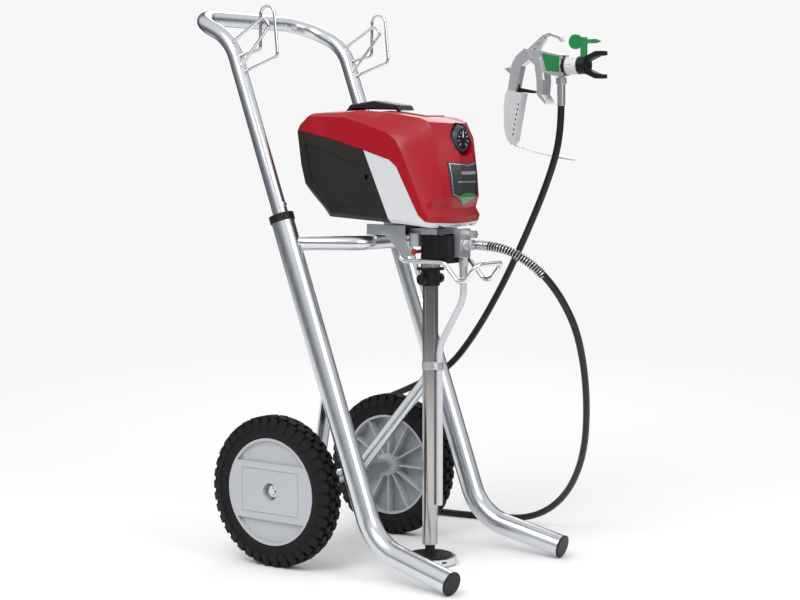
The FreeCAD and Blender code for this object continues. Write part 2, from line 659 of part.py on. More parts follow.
def pump_body():
    """Cylinder with a seal pocket at its top, a valve pocket at its foot, and the pusher's guide."""
    body = rod((0, PUMP_Y, PUMP_FOOT_Z), (0, PUMP_Y, PUMP_TOP_Z), PUMP_R)
    flange = rod((0, PUMP_Y, DECK_TOP + FOOT_T), (0, PUMP_Y, PUMP_TOP_Z), PUMP_R + 5)
    body = fused(body, flange)
    body = body.cut(rod((0, PUMP_Y, PUMP_FOOT_Z + 5), (0, PUMP_Y, PUMP_TOP_Z), PISTON_R + RUN_FIT))
    body = body.cut(rod((0, PUMP_Y, PUMP_FOOT_Z), (0, PUMP_Y, PUMP_FOOT_Z + 8), 10 + SEAT_GAP))
    body = body.cut(rod((0, PUMP_Y, PUMP_TOP_Z - 8), (0, PUMP_Y, PUMP_TOP_Z), 11 + SEAT_GAP))
    guide = rod((-PUMP_R - 1, PUSHER_Y, PUSHER_Z), (-PISTON_R - 1.5, PUSHER_Y, PUSHER_Z), PUSHER_R + RUN_FIT)
    return body.cut(guide)


def piston_seal():
    return ring((0, PUMP_Y, PUMP_TOP_Z - 7.8), (0, PUMP_Y, PUMP_TOP_Z - 0.5), 11, PISTON_R + RUN_FIT)


def inlet_valve():
    return ring((0, PUMP_Y, PUMP_FOOT_Z), (0, PUMP_Y, PUMP_FOOT_Z + 7.8), 10, 4)


# ---------------------------------------------------------------- outlet, cover and pusher


def outlet_block():
    """Block in front of the pump: arm to the pump, hose nipple, plug, and return fitting below."""
    block = box(-BLOCK_HALF, BLOCK_HALF, BLOCK_Y[0], BLOCK_Y[1], 519, 566)
    arm = box(-10, 10, BLOCK_Y[1] - 1, PUMP_Y - 6, 531, 553)
    arm = arm.cut(rod((0, PUMP_Y, 520), (0, PUMP_Y, 560), PUMP_R + SEAT_GAP))
    nipple = rod((0, BLOCK_Y[0] + 1, OUTLET_Z), (0, NUT_Y[0] + 8, OUTLET_Z), 5)
    plug = hexagon((8, BLOCK_Y[0] + 1, 557), (8, BLOCK_Y[0] - 15, 557), 12)
    fitting = hexagon((0, RETURN_TOP_Y, 520), (0, RETURN_TOP_Y, 504), 15)
    barb = rod((0, RETURN_TOP_Y, 505), (0, RETURN_TOP_Y, RETURN_TOP_Z), 6.5)
    return fused(block, arm, nipple, plug, fitting, barb)


def pump_cover():
    """Ribbed cover open at the top and back, round the pump's front."""
    out = 32.0
    y0, y1 = BLOCK_Y[1] + MOVE_GAP, PUMP_Y - 4
    shell = box(-out, out, y0, y1, 510, DECK_TOP - 1).cut(box(-out + 2.5, out - 2.5, y0 + 2.5, y1 + 1, 512.5, 570))
    ribs = [box(-out - 1.5, -out + 1, y0, y1, z, z + 2) for z in (518, 536)]
    ribs += [box(-out - 1.5, -out + 1, y, y + 2, 512, DECK_TOP - 1) for y in (y0 + 2, y0 + 18, y0 + 34, y1 - 3)]
    shell = fused(shell, *ribs, *[other_side(rib) for rib in ribs])
    shell = shell.cut(rod((0, PUMP_Y, 500), (0, PUMP_Y, 520), PUMP_R + MOVE_GAP))
    return shell.cut(box(-10.4, 10.4, y0 - 1, y0 + 4, 530.6, 553.4))


def inlet_pusher():
    """Sprung button that frees a stuck inlet valve, with a round end."""
    ball_r = 5.0
    profile = [(-PUMP_R + 4, 0), (-PUMP_R + 4, PUSHER_R), (-40, PUSHER_R)]
    for turn in (50, 80, 110, 140, 160):
        angle = math.radians(turn)
        profile.append((-45 + ball_r * math.cos(angle), ball_r * math.sin(angle)))
    profile.append((-50, 0))
    return spin_profile(profile, PUSHER_Y, PUSHER_Z)


# ---------------------------------------------------------------- suction, return and pail hook


def suction_nut():
    """Coupling nut with a flange and two round lugs."""
    flange = rod((0, PUMP_Y, PUMP_FOOT_Z - 4), (0, PUMP_Y, PUMP_FOOT_Z), 23)
    body = rod((0, PUMP_Y, PUMP_FOOT_Z - 30), (0, PUMP_Y, PUMP_FOOT_Z - 3), SUCTION_R + 3)
    arms = rod((-22, PUMP_Y, PUMP_FOOT_Z - 19), (22, PUMP_Y, PUMP_FOOT_Z - 19), 5)
    lugs = [rod((side * 20, PUMP_Y, PUMP_FOOT_Z - 19), (side * 29, PUMP_Y, PUMP_FOOT_Z - 19), 8.5)
            for side in (-1, 1)]
    nut = fused(flange, body, arms, *lugs)
    nut = nut.cut(rod((0, PUMP_Y, PUMP_FOOT_Z - 31), (0, PUMP_Y, SUCTION_TOP_Z), SUCTION_R + SEAT_GAP))
    return nut.cut(rod((0, PUMP_Y, SUCTION_TOP_Z - 1), (0, PUMP_Y, PUMP_FOOT_Z + 1), 8))


def suction_tube():
    return ring((0, PUMP_Y, SUCTION_FOOT_Z), (0, PUMP_Y, SUCTION_TOP_Z), SUCTION_R, SUCTION_R - SUCTION_WALL)


def strainer():
    """Black cap with a neck that plugs into the suction tube."""
    plate = rod((0, PUMP_Y, 14), (0, PUMP_Y, 17), STRAINER_R)
    cone = Part.makeCone(STRAINER_R - 1, 14, 5, Vector(0, PUMP_Y, 17), Vector(0, 0, 1))
    neck = rod((0, PUMP_Y, 20), (0, PUMP_Y, SUCTION_FOOT_Z + 20), 8.5)
    plug = rod((0, PUMP_Y, SUCTION_FOOT_Z + 2), (0, PUMP_Y, SUCTION_FOOT_Z + 22),
               SUCTION_R - SUCTION_WALL - SEAT_GAP)
    return fused(plate, cone, neck, plug).cut(rod((0, PUMP_Y, 10), (0, PUMP_Y, SUCTION_FOOT_Z + 30), 6))


def strainer_cage():
    """Slotted saucer under the strainer."""
    floor = rod((0, PUMP_Y, 3), (0, PUMP_Y, 6), CAGE_R)
    wall = ring((0, PUMP_Y, 3), (0, PUMP_Y, 14), CAGE_R, CAGE_R - 3)
    boss = ring((0, PUMP_Y, 3), (0, PUMP_Y, 14), 12, 8)
    cage = fused(floor, wall, boss)
    for k in range(8):
        slot = box(CAGE_R - 6, CAGE_R + 2, PUMP_Y - 5, PUMP_Y + 5, 7, 11.5)
        slot.rotate(Vector(0, PUMP_Y, 0), Vector(0, 0, 1), 45 * k + 22.5)
        cage = cage.cut(slot)
    return cage


def return_tube():
    points = [(0, RETURN_TOP_Y, RETURN_TOP_Z), (0, RETURN_TOP_Y, 450), (0, RETURN_Y, 370), (0, RETURN_Y, 102)]
    return sweep(points, [60, 60], RETURN_R).cut(sweep(points, [60, 60], RETURN_R - 1.5))


def tube_clip():
    """Spring band round the suction and return tubes."""
    z0, z1 = 330, 343
    band = fused(rod((0, PUMP_Y, z0), (0, PUMP_Y, z1), SUCTION_R + 1.2),
                 rod((0, RETURN_Y, z0), (0, RETURN_Y, z1), RETURN_R + 1.2),
                 box(-RETURN_R - 1.2, RETURN_R + 1.2, RETURN_Y, PUMP_Y, z0, z1))
    band = band.cut(rod((0, PUMP_Y, z0 - 1), (0, PUMP_Y, z1 + 1), SUCTION_R + SEAT_GAP))
    return band.cut(rod((0, RETURN_Y, z0 - 1), (0, RETURN_Y, z1 + 1), RETURN_R + SEAT_GAP))


def pail_hook():
    """One rod: a leg on each side of the pump that dips for a pail's bail, joined across the front."""
    half = PAIL_HALF
    leg = [(-half, -80, 548), (-half, -92, 512), (-half, -178, 512), (-half, -213, 473), (-half, -242, 511)]
    points = leg + [(-x, y, z) for x, y, z in reversed(leg)]
    return sweep(points, [14, 14, 16, 14, 14, 16, 14, 14], PAIL_WIRE_R)


def lead_gland():
    body = rod((0, 86, GLAND_Z), (0, 116, GLAND_Z), GLAND_R)
    flange = rod((0, 101, GLAND_Z), (0, 106, GLAND_Z), GLAND_R + 5)
    return fused(body, flange).cut(rod((0, 80, GLAND_Z), (0, 120, GLAND_Z), GLAND_BORE_R))


# ---------------------------------------------------------------- hose

def hose_radii(points):
    """Each arc as large as its two runs allow."""
    radii = []
    points = [Vector(*p) for p in points]
    for a, b, c in zip(points, points[1:], points[2:]):
        turn = (b - a).getAngle(c - b)
        radii.append(0.45 * min((b - a).Length, (c - b).Length) / math.tan(turn / 2))
    return radii


def hose():
    radii = hose_radii(HOSE)
    spine = path(HOSE, radii)
    tube = sweep(HOSE, radii, HOSE_R)
    print("hose radii", " ".join(f"{r:.0f}" for r in radii))
    print(f"hose length {spine.Length:.0f}, volume ratio {tube.Volume / (math.pi * HOSE_R ** 2 * spine.Length):.4f}")
    return tube


def hose_guard():
    """Outer shape of the coil spring round the hose's first stretch."""
    last = Vector(*HOSE[GUARD_POINTS]) + Vector(*HOSE[GUARD_POINTS - 1])
    points = HOSE[:GUARD_POINTS] + [tuple(last * 0.5)]
    radii = hose_radii(HOSE)[:GUARD_POINTS - 1]
    return sweep(points, radii, GUARD_R).cut(sweep(points, radii, HOSE_R + 0.3))


def hose_nut():
    hexed = hexagon((0, NUT_Y[1], OUTLET_Z), (0, NUT_Y[0] + 9, OUTLET_Z), 17)
    tail = rod((0, NUT_Y[0] + 9, OUTLET_Z), (0, NUT_Y[0], OUTLET_Z), 7.5)
    return fused(hexed, tail).cut(rod((0, NUT_Y[1] + 1, OUTLET_Z), (0, NUT_Y[0] + 7, OUTLET_Z), 5 + SEAT_GAP))


def hose_ferrule():
    return rod((GUN_X, GUN_Y, HOSE[-1][2]), (GUN_X, GUN_Y, SWIVEL_Z[0] - MOVE_GAP), 7)


# ---------------------------------------------------------------- gun


def gun_prism(outline, half):
    return prism(outline, "x", GUN_X - half, GUN_X + half)


def gun_body():
    """Casting: body, arched frame, grip, top hook and spur, with the nose, pins and hose nipple."""
    body = gun_prism([(-165, 868), (-209, 862), (-241, 855), (-246, 850), (-246, 822), (-236, 818),
                      (-203, 826), (-189, 838), (-178, 848)], GUN_HALF)
    arch = gun_prism([(-165, 868), (-148, 856), (-139, 842), (-131, 796), (-147, 791), (-158, 838),
                      (-175, 849), (-190, 848), (-195, 860)], GUN_HALF - 4)
    grip = gun_prism([(-131, 797), (-162, 791), (-160, 784), (-148, 722), (-145, 708), (-139, 702),
                      (-131, 712), (-125, 730), (-124, 770), (-127, 790)], GUN_HALF - 2.5)
    hook = gun_prism([(-168, 866), (-200, 890), (-214, 894), (-234, 887), (-239, 878), (-235, 878),
                      (-231, 883), (-213, 889), (-202, 886), (-180, 866)], 5)
    brace = gun_prism([(-190, 863), (-205, 884), (-200, 887), (-184, 864)], 4)
    spur = gun_prism([(-121, 835), (-146, 838), (-142, 818)], 4)
    barrel = rod((GUN_X, -246, GUN_Z), (GUN_X, -239, GUN_Z), BARREL_R)
    nose = rod((GUN_X, GUARD_Y[1] + 1, GUN_Z), (GUN_X, -240, GUN_Z), NOSE_R)
    collar = rod((GUN_X, -249.6, GUN_Z), (GUN_X, -243, GUN_Z), BARREL_R + 3)
    nipple = rod((GUN_X, GUN_Y, 825), (GUN_X, GUN_Y, SWIVEL_Z[0] + MOVE_GAP), NIPPLE_R)
    ear_out = GUN_HALF + MOVE_GAP + EAR_T
    pivot = rod((GUN_X - ear_out, *PIVOT), (GUN_X + ear_out, *PIVOT), 3)
    lock_pin = rod((GUN_X - 8, *LOCK_PIVOT), (GUN_X + 8, *LOCK_PIVOT), 2.5)
    whole = fused(body, arch, grip, hook, brace, spur, barrel, nose, collar, nipple, pivot)
    room = rod((GUN_X - 3.4, *LOCK_PIVOT), (GUN_X + 3.4, *LOCK_PIVOT), 10.5)
    return fused(whole.cut(room), lock_pin)


def gun_trigger():
    """Channel that straddles the body on its pivot and closes into a bar in front of the fingers."""
    outline = [(-187, 852), (-199, 852), (-204, 834), (-206, 812), (-204, 788), (-214, 776), (-211, 772),
               (-200, 783), (-195, 788), (-194, 812), (-190, 838)]
    half = GUN_HALF + MOVE_GAP
    trigger = gun_prism(outline, half + EAR_T)
    hollow = gun_prism([(-180, 860), (-215, 860), (-215, 815), (-203.5, 813), (-201.5, 790), (-180, 780)], half)
    trigger = trigger.cut(hollow)
    return trigger.cut(rod((GUN_X - 20, *PIVOT), (GUN_X + 20, *PIVOT), 3 + RUN_FIT))


def trigger_lock():
    """Lever in the frame that blocks the trigger from behind."""
    y, z = LOCK_PIVOT
    eye = rod((GUN_X - 3, y, z), (GUN_X + 3, y, z), 6)
    bar = prism([(y, z + 4), (y - 39, z - 3), (y - 40, z - 6), (y - 34, z - 7), (y, z - 4)], "x",
                GUN_X - 3, GUN_X + 3)
    return fused(eye, bar).cut(rod((GUN_X - 5, y, z), (GUN_X + 5, y, z), 2.5 + RUN_FIT))


def gun_swivel():
    nut = hexagon((GUN_X, GUN_Y, SWIVEL_Z[0]), (GUN_X, GUN_Y, SWIVEL_Z[1]), 2 * SWIVEL_R)
    return nut.cut(rod((GUN_X, GUN_Y, SWIVEL_Z[0] - 1), (GUN_X, GUN_Y, SWIVEL_Z[1] + 1), NIPPLE_R + RUN_FIT))


def guard_nut():
    nut = ring((GUN_X, -250, GUN_Z), (GUN_X, GUARD_Y[1] + MOVE_GAP, GUN_Z), 15.5, NOSE_R + SEAT_GAP)
    for k in range(8):
        groove = rod((GUN_X, -252, GUN_Z + 16.6), (GUN_X, -262, GUN_Z + 16.6), 2.4)
        groove.rotate(Vector(GUN_X, 0, GUN_Z), Vector(0, 1, 0), 45 * k)
        nut = nut.cut(groove)
    return nut


def tip_guard():
    """Guard that turns on the nose, with two swept wings and a seat for the tip."""
    base = rod((GUN_X, GUARD_Y[0], GUN_Z), (GUN_X, GUARD_Y[1], GUN_Z), 15)
    wing = prism([(GUARD_Y[0] + 2, GUN_Z + 5), (GUARD_Y[0] + 2, GUN_Z + 14), (-306, GUN_Z + 23),
                  (-320, GUN_Z + 23), (-320, GUN_Z + 16), (-309, GUN_Z + 15)], "x", GUN_X - 9, GUN_X + 9)
    lower = wing.mirror(Vector(0, 0, GUN_Z), Vector(0, 0, 1))
    guard = fused(base, wing, lower)
    guard = guard.cut(rod((GUN_X, GUARD_Y[0] - 1, GUN_Z), (GUN_X, GUARD_Y[1] + 1, GUN_Z), 3))
    return guard.cut(rod((GUN_X, TIP_Y, GUN_Z - 10), (GUN_X, TIP_Y, GUN_Z + 20), TIP_STEM_R + RUN_FIT))


def spray_tip():
    """Reversible tip: a stem in the guard, a round flag behind it and an arrow in front."""
    top = GUN_Z + 47
    flag_z = GUN_Z + 40
    stem = rod((GUN_X, TIP_Y, GUN_Z - 8), (GUN_X, TIP_Y, top), TIP_STEM_R)
    flag = rod((GUN_X - 2.5, -263, flag_z), (GUN_X + 2.5, -263, flag_z), 12.5)
    arm = box(GUN_X - 2, GUN_X + 2, -281, -268, flag_z - 4, flag_z + 4)
    arrow = prism([(-281, flag_z - 3.5), (-304, flag_z - 3.5), (-313, flag_z), (-304, flag_z + 3.5),
                   (-281, flag_z + 3.5)], "x", GUN_X - 2, GUN_X + 2)
    return fused(stem, flag, arm, arrow)


def hose_keeper():
    """Thin wire from the grip's foot past the hose."""
    x = GUN_X + HOSE_R + KEEPER_R + 1.2
    points = [(GUN_X, -140, 701.5), (GUN_X + 4, -180, 690), (x, -222, 681), (x, -258, 676)]
    wire = sweep(points, [20, 20], KEEPER_R)
    return wire.cut(gun_body())


# ---------------------------------------------------------------- build

os.makedirs("parts", exist_ok=True)

SIDES = {"right": -1, "left": 1}
for word, side in SIDES.items():
    save(f"{word}_side_tube", side_tube(side))
    save(f"{word}_strut", strut(side))
    save(f"{word}_snap_button", snap_button(side))
    save(f"{word}_hose_hook", *hose_hook(side))
    save(f"{word}_rim", rim(side))
    save(f"{word}_tyre", tyre(side))

save("foot_caps", *[foot_cap(side) for side in SIDES.values()])
save("tube_collars", *[tube_collar(side) for side in SIDES.values()])
save("axle_tube", ring((-AXLE_TUBE_HALF, AXLE_Y, WHEEL_R), (AXLE_TUBE_HALF, AXLE_Y, WHEEL_R),
                       AXLE_TUBE_R, AXLE_R + SEAT_GAP))
save("axle_rod", rod((-AXLE_END, AXLE_Y, WHEEL_R), (AXLE_END, AXLE_Y, WHEEL_R), AXLE_R))
save("axle_nuts", *axle_nuts())

TOP_SHELL, BASE_SHELL, REAR_SHELL = with_openings(*housing_shells())
save("top_shell", TOP_SHELL)
save("base_shell", BASE_SHELL)
save("rear_shell", REAR_SHELL)

for make in (cross_yoke, pump_bracket, handle_tube, carry_handle, handle_plinth, front_badge, pressure_knob,
             control_board, gearbox, motor_case, motor_armature, cooling_fan, drive_gear, piston_yoke,
             pump_body, piston_seal, inlet_valve, outlet_block, pump_cover, inlet_pusher, suction_nut,
             suction_tube, strainer, strainer_cage, return_tube, tube_clip, pail_hook, lead_gland,
             hose, hose_guard, hose_nut, hose_ferrule, gun_body, gun_trigger, trigger_lock, gun_swivel,
             guard_nut, tip_guard, spray_tip, hose_keeper):
    save(make.__name__, make())
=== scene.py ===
import json
import math

import bmesh
import bpy
from mathutils import Matrix, Vector


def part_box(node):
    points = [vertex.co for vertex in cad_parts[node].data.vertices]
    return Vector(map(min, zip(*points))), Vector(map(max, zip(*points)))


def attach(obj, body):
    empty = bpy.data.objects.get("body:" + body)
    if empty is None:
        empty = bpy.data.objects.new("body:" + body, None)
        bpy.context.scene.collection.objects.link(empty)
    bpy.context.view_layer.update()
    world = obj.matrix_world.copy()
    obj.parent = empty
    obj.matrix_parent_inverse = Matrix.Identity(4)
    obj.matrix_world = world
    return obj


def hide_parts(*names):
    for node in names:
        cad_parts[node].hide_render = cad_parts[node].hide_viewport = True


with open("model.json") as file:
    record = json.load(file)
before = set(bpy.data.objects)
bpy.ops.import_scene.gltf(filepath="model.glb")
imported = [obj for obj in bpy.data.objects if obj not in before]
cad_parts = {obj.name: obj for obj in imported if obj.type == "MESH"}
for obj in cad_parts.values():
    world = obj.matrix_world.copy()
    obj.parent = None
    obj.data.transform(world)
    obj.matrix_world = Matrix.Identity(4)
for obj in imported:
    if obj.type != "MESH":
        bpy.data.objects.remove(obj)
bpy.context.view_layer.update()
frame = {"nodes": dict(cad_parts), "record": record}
NODES = frame["nodes"]
BODY_OF = {n: b for b, members in frame["record"]["behaviour"]["bodies"].items() for n in members}


# ---- Studio
# A pale floor under soft light. A dark wall stands only in the reflections, so that
# bright tubes show dark edges as they do beside a window.

FLOOR_HALF = 14.0
FADE_FROM, FADE_TO = 1.3, 3.6   # distance from the object where the floor melts into the backdrop
PALE = (0.93, 0.93, 0.93, 1)
DARK_SIDE = (0.80, 0.59, 0.0)   # direction of the dark wall


def studio_floor():
    bm = bmesh.new()
    bmesh.ops.create_grid(bm, x_segments=1, y_segments=1, size=FLOOR_HALF)
    mesh = bpy.data.meshes.new("studio_floor")
    bm.to_mesh(mesh)
    floor = bpy.data.objects.new("studio_floor", mesh)
    bpy.context.scene.collection.objects.link(floor)
    paint = bpy.data.materials.new("floor_paint")
    paint.use_nodes = True
    shader = paint.node_tree.nodes["Principled BSDF"]
    shader.inputs["Base Color"].default_value = PALE
    shader.inputs["Roughness"].default_value = 0.6
    shader.inputs["Specular IOR Level"].default_value = 0.0
    tree = paint.node_tree
    place, away = tree.nodes.new("ShaderNodeTexCoord"), tree.nodes.new("ShaderNodeVectorMath")
    away.operation = "LENGTH"
    fade, clear = tree.nodes.new("ShaderNodeMapRange"), tree.nodes.new("ShaderNodeBsdfTransparent")
    fade.interpolation_type = "SMOOTHSTEP"
    fade.inputs["From Min"].default_value = FADE_FROM
    fade.inputs["From Max"].default_value = FADE_TO
    mix = tree.nodes.new("ShaderNodeMixShader")
    tree.links.new(place.outputs["Object"], away.inputs[0])
    tree.links.new(away.outputs["Value"], fade.inputs["Value"])
    tree.links.new(fade.outputs[0], mix.inputs[0])
    tree.links.new(shader.outputs[0], mix.inputs[1])
    tree.links.new(clear.outputs[0], mix.inputs[2])
    tree.links.new(mix.outputs[0], tree.nodes["Material Output"].inputs["Surface"])
    mesh.materials.append(paint)


def colour_ramp(tree, *stops):
    """Ramp between two stops, each a position and a colour."""
    ramp = tree.nodes.new("ShaderNodeValToRGB")
    for element, (position, colour) in zip(ramp.color_ramp.elements, stops):
        element.position = position
        element.color = colour
    return ramp


def studio_world():
    """Pale to the camera; to everything else bright overhead and grey toward the horizon."""
    world = bpy.data.worlds.new("studio")
    bpy.context.scene.world = world
    world.use_nodes = True
    tree = world.node_tree
    tree.nodes.clear()
    place = tree.nodes.new("ShaderNodeTexCoord")
    split = tree.nodes.new("ShaderNodeSeparateXYZ")
    ramp = colour_ramp(tree, (0.03, (0.16, 0.17, 0.19, 1)), (0.42, (1.0, 1.0, 1.0, 1)))
    toward = tree.nodes.new("ShaderNodeVectorMath")
    toward.operation = "DOT_PRODUCT"
    toward.inputs[1].default_value = DARK_SIDE
    wall = colour_ramp(tree, (0.60, (1, 1, 1, 1)), (0.82, (0.10, 0.11, 0.12, 1)))
    both = tree.nodes.new("ShaderNodeMix")
    both.data_type = "RGBA"
    both.blend_type = "MULTIPLY"
    both.inputs["Factor"].default_value = 1
    lit = tree.nodes.new("ShaderNodeBackground")
    lit.inputs["Strength"].default_value = 0.85
    seen = tree.nodes.new("ShaderNodeBackground")
    seen.inputs["Color"].default_value = PALE
    rays = tree.nodes.new("ShaderNodeLightPath")
    mix = tree.nodes.new("ShaderNodeMixShader")
    out = tree.nodes.new("ShaderNodeOutputWorld")
    link = tree.links.new
    link(place.outputs["Generated"], split.inputs[0])
    link(split.outputs["Z"], ramp.inputs[0])
    link(place.outputs["Generated"], toward.inputs[0])
    link(toward.outputs["Value"], wall.inputs[0])
    link(ramp.outputs[0], both.inputs[6])
    link(wall.outputs[0], both.inputs[7])
    link(both.outputs[2], lit.inputs["Color"])
    link(rays.outputs["Is Camera Ray"], mix.inputs[0])
    link(lit.outputs[0], mix.inputs[1])
    link(seen.outputs[0], mix.inputs[2])
    link(mix.outputs[0], out.inputs[0])


def studio_light(name, place, target, size, power):
    lamp = bpy.data.lights.new(name, "AREA")
    lamp.size = size
    lamp.energy = power
    holder = bpy.data.objects.new(name, lamp)
    bpy.context.scene.collection.objects.link(holder)
    holder.location = place
    holder.rotation_euler = (Vector(target) - Vector(place)).to_track_quat("-Z", "Y").to_euler()


studio_floor()
studio_world()
studio_light("key_light", (-2.2, -0.4, 2.6), (0, 0, 0.5), 1.6, 44)
studio_light("front_light", (-0.6, -3.0, 1.8), (0, 0, 0.5), 1.4, 24)
studio_light("far_light", (2.6, 1.6, 2.2), (0, 0, 0.5), 1.4, 18)

lens = bpy.data.cameras.new("camera")
lens.sensor_width = 36
lens.lens = 83.8
camera = bpy.data.objects.new("camera", lens)
bpy.context.scene.collection.objects.link(camera)
camera.location = (-2.5209, -1.9064, 0.7156)
camera.rotation_euler = (math.radians(85), 0, math.radians(-53.8))
bpy.context.scene.camera = camera
bpy.context.scene.view_settings.view_transform = "Standard"


# ---- Hose
# A smooth black jacket over braid, 12 mm across. It leaves the outlet nut straight,
# drops to the floor, runs back beside the wheel and rises to the gun's swivel.

HOSE_R = 0.006
HOSE_ROUTE = [
    (0, -218, 540), (0, -248, 540), (10, -284, 529), (35, -318, 500), (75, -335, 452), (128, -336, 385),
    (200, -310, 277), (278, -259, 157), (338, -185, 66), (366, -102, 14), (361, -18, 6.3), (344, 75, 6.3),
    (330, 163, 9), (317, 238, 35), (303, 280, 95), (294, 270, 166), (289, 205, 214), (287, 125, 247),
    (283, 38, 288), (268, -30, 355), (251, -98, 443), (238, -160, 543), (231, -211, 643),
    (230, -235, 717), (230, -235, 769)]


def surface_group():
    """Colour drift, uneven gloss and fine grain, shared by every finish."""
    tree = bpy.data.node_groups.new("surface_finish", "ShaderNodeTree")
    face = tree.interface
    for name, kind, value in (("Colour", "NodeSocketColor", (0.5, 0.5, 0.5, 1)),
                              ("Shade", "NodeSocketColor", (0.4, 0.4, 0.4, 1)),
                              ("Drift Scale", "NodeSocketFloat", 18.0),
                              ("Drift", "NodeSocketFloat", 0.4),
                              ("Roughness", "NodeSocketFloat", 0.4),
                              ("Unevenness", "NodeSocketFloat", 0.1),
                              ("Grain Scale", "NodeSocketFloat", 900.0),
                              ("Grain", "NodeSocketFloat", 0.1),
                              ("Stretch", "NodeSocketVector", (1, 1, 1))):
        face.new_socket(name, in_out="INPUT", socket_type=kind).default_value = value
    for name, kind in (("Colour", "NodeSocketColor"), ("Roughness", "NodeSocketFloat"),
                       ("Normal", "NodeSocketVector")):
        face.new_socket(name, in_out="OUTPUT", socket_type=kind)
    node = tree.nodes.new
    link = tree.links.new
    given, made = node("NodeGroupInput"), node("NodeGroupOutput")
    place, stretch = node("ShaderNodeTexCoord"), node("ShaderNodeVectorMath")
    stretch.operation = "MULTIPLY"
    drift, grain = node("ShaderNodeTexNoise"), node("ShaderNodeTexNoise")
    drift.inputs["Detail"].default_value = 4
    grain.inputs["Detail"].default_value = 3
    amount, colour = node("ShaderNodeMath"), node("ShaderNodeMix")
    amount.operation = "MULTIPLY"
    colour.data_type = "RGBA"
    gloss, bump = node("ShaderNodeMath"), node("ShaderNodeBump")
    gloss.operation = "MULTIPLY_ADD"
    bump.inputs["Distance"].default_value = 0.0004
    link(place.outputs["Object"], stretch.inputs[0])
    link(given.outputs["Stretch"], stretch.inputs[1])
    link(place.outputs["Object"], drift.inputs["Vector"])
    link(given.outputs["Drift Scale"], drift.inputs["Scale"])
    link(stretch.outputs[0], grain.inputs["Vector"])
    link(given.outputs["Grain Scale"], grain.inputs["Scale"])
    link(drift.outputs[0], amount.inputs[0])
    link(given.outputs["Drift"], amount.inputs[1])
    link(amount.outputs[0], colour.inputs["Factor"])
    link(given.outputs["Colour"], colour.inputs[6])
    link(given.outputs["Shade"], colour.inputs[7])
    link(grain.outputs[0], gloss.inputs[0])
    link(given.outputs["Unevenness"], gloss.inputs[1])
    link(given.outputs["Roughness"], gloss.inputs[2])
    link(grain.outputs[0], bump.inputs["Height"])
    link(given.outputs["Grain"], bump.inputs["Strength"])
    link(colour.outputs[2], made.inputs["Colour"])
    link(gloss.outputs[0], made.inputs["Roughness"])
    link(bump.outputs[0], made.inputs["Normal"])
    return tree


SURFACE = surface_group()


def finish(name, colour, shade, metallic=0.0, coat=0.0, specular=0.5, **values):
    """One material: the shared surface group with this finish's own values."""
    paint = bpy.data.materials.new(name)
    paint.use_nodes = True
    tree = paint.node_tree
    shader = tree.nodes["Principled BSDF"]
    group = tree.nodes.new("ShaderNodeGroup")
    group.node_tree = SURFACE
    group.inputs["Colour"].default_value = (*colour, 1)
    group.inputs["Shade"].default_value = (*shade, 1)
    for key, value in values.items():
        group.inputs[key.replace("_", " ").title()].default_value = value
    shader.inputs["Metallic"].default_value = metallic
    shader.inputs["Coat Weight"].default_value = coat
    shader.inputs["Coat Roughness"].default_value = 0.06
    shader.inputs["Specular IOR Level"].default_value = specular
    tree.links.new(group.outputs["Colour"], shader.inputs["Base Color"])
    tree.links.new(group.outputs["Roughness"], shader.inputs["Roughness"])
    tree.links.new(group.outputs["Normal"], shader.inputs["Normal"])
    return paint


def placed(mesh, name, node=None, body=None, slot=None, paint=None, smooth=35):
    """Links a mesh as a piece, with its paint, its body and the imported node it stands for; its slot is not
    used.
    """
    piece = bpy.data.objects.new(name, mesh)
    bpy.context.scene.collection.objects.link(piece)
    if paint:
        mesh.materials.clear()
        mesh.materials.append(paint)
    if smooth and isinstance(mesh, bpy.types.Mesh):
        mesh.polygons.foreach_set("use_smooth", [True] * len(mesh.polygons))
        mesh.set_sharp_from_angle(angle=math.radians(smooth))
    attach(piece, body or BODY_OF[node])
    if node:
        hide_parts(node)
    return piece


def from_bmesh(bm, name, **how):
    mesh = bpy.data.meshes.new(name)
    bm.to_mesh(mesh)
    bm.free()
    return placed(mesh, name, **how)


def route_curve(name, points, radius):
    """Smooth tube along a route given in mm."""
    curve = bpy.data.curves.new(name, "CURVE")
    curve.dimensions = "3D"
    spline = curve.splines.new("NURBS")
    spline.points.add(len(points) - 1)
    for point, place in zip(spline.points, points):
        point.co = (*[v / 1000 for v in place], 1)
    spline.order_u = 3
    spline.use_endpoint_u = True
    spline.resolution_u = 12
    curve.bevel_depth = radius
    curve.bevel_resolution = 6
    return curve


def route_points(points):
    """Points along the smooth line of a route."""
    curve = route_curve("route", points, 0)
    holder = bpy.data.objects.new("route", curve)
    bpy.context.scene.collection.objects.link(holder)
    line = bpy.data.meshes.new_from_object(holder.evaluated_get(bpy.context.evaluated_depsgraph_get()))
    found = [v.co.copy() for v in line.vertices]
    bpy.data.objects.remove(holder)
    bpy.data.curves.remove(curve)
    bpy.data.meshes.remove(line)
    return found


jacket = finish("hose_jacket", (0.007, 0.007, 0.008), (0.013, 0.013, 0.014), coat=0.15, specular=0.3,
                roughness=0.30, unevenness=0.16, grain_scale=420, grain=0.10, drift_scale=30)
jacket_curve = route_curve("hose_jacket", HOSE_ROUTE, HOSE_R)
jacket_curve.use_fill_caps = True
hose = placed(jacket_curve, "hose_jacket", node="hose", paint=jacket)


# ---- Hose guard and fittings
# A plated spring, its coils close at the nut and open further out, keeps the hose from
# kinking where it leaves the pump. Crimped steel ends hold the hose.

GUARD_WIRE_R = 0.0009
GUARD_COIL_R = 0.0073
GUARD_LENGTH = 0.125
TIGHT_TURNS = 9
TIGHT_PITCH = 0.0022
OPEN_PITCH = 0.0046


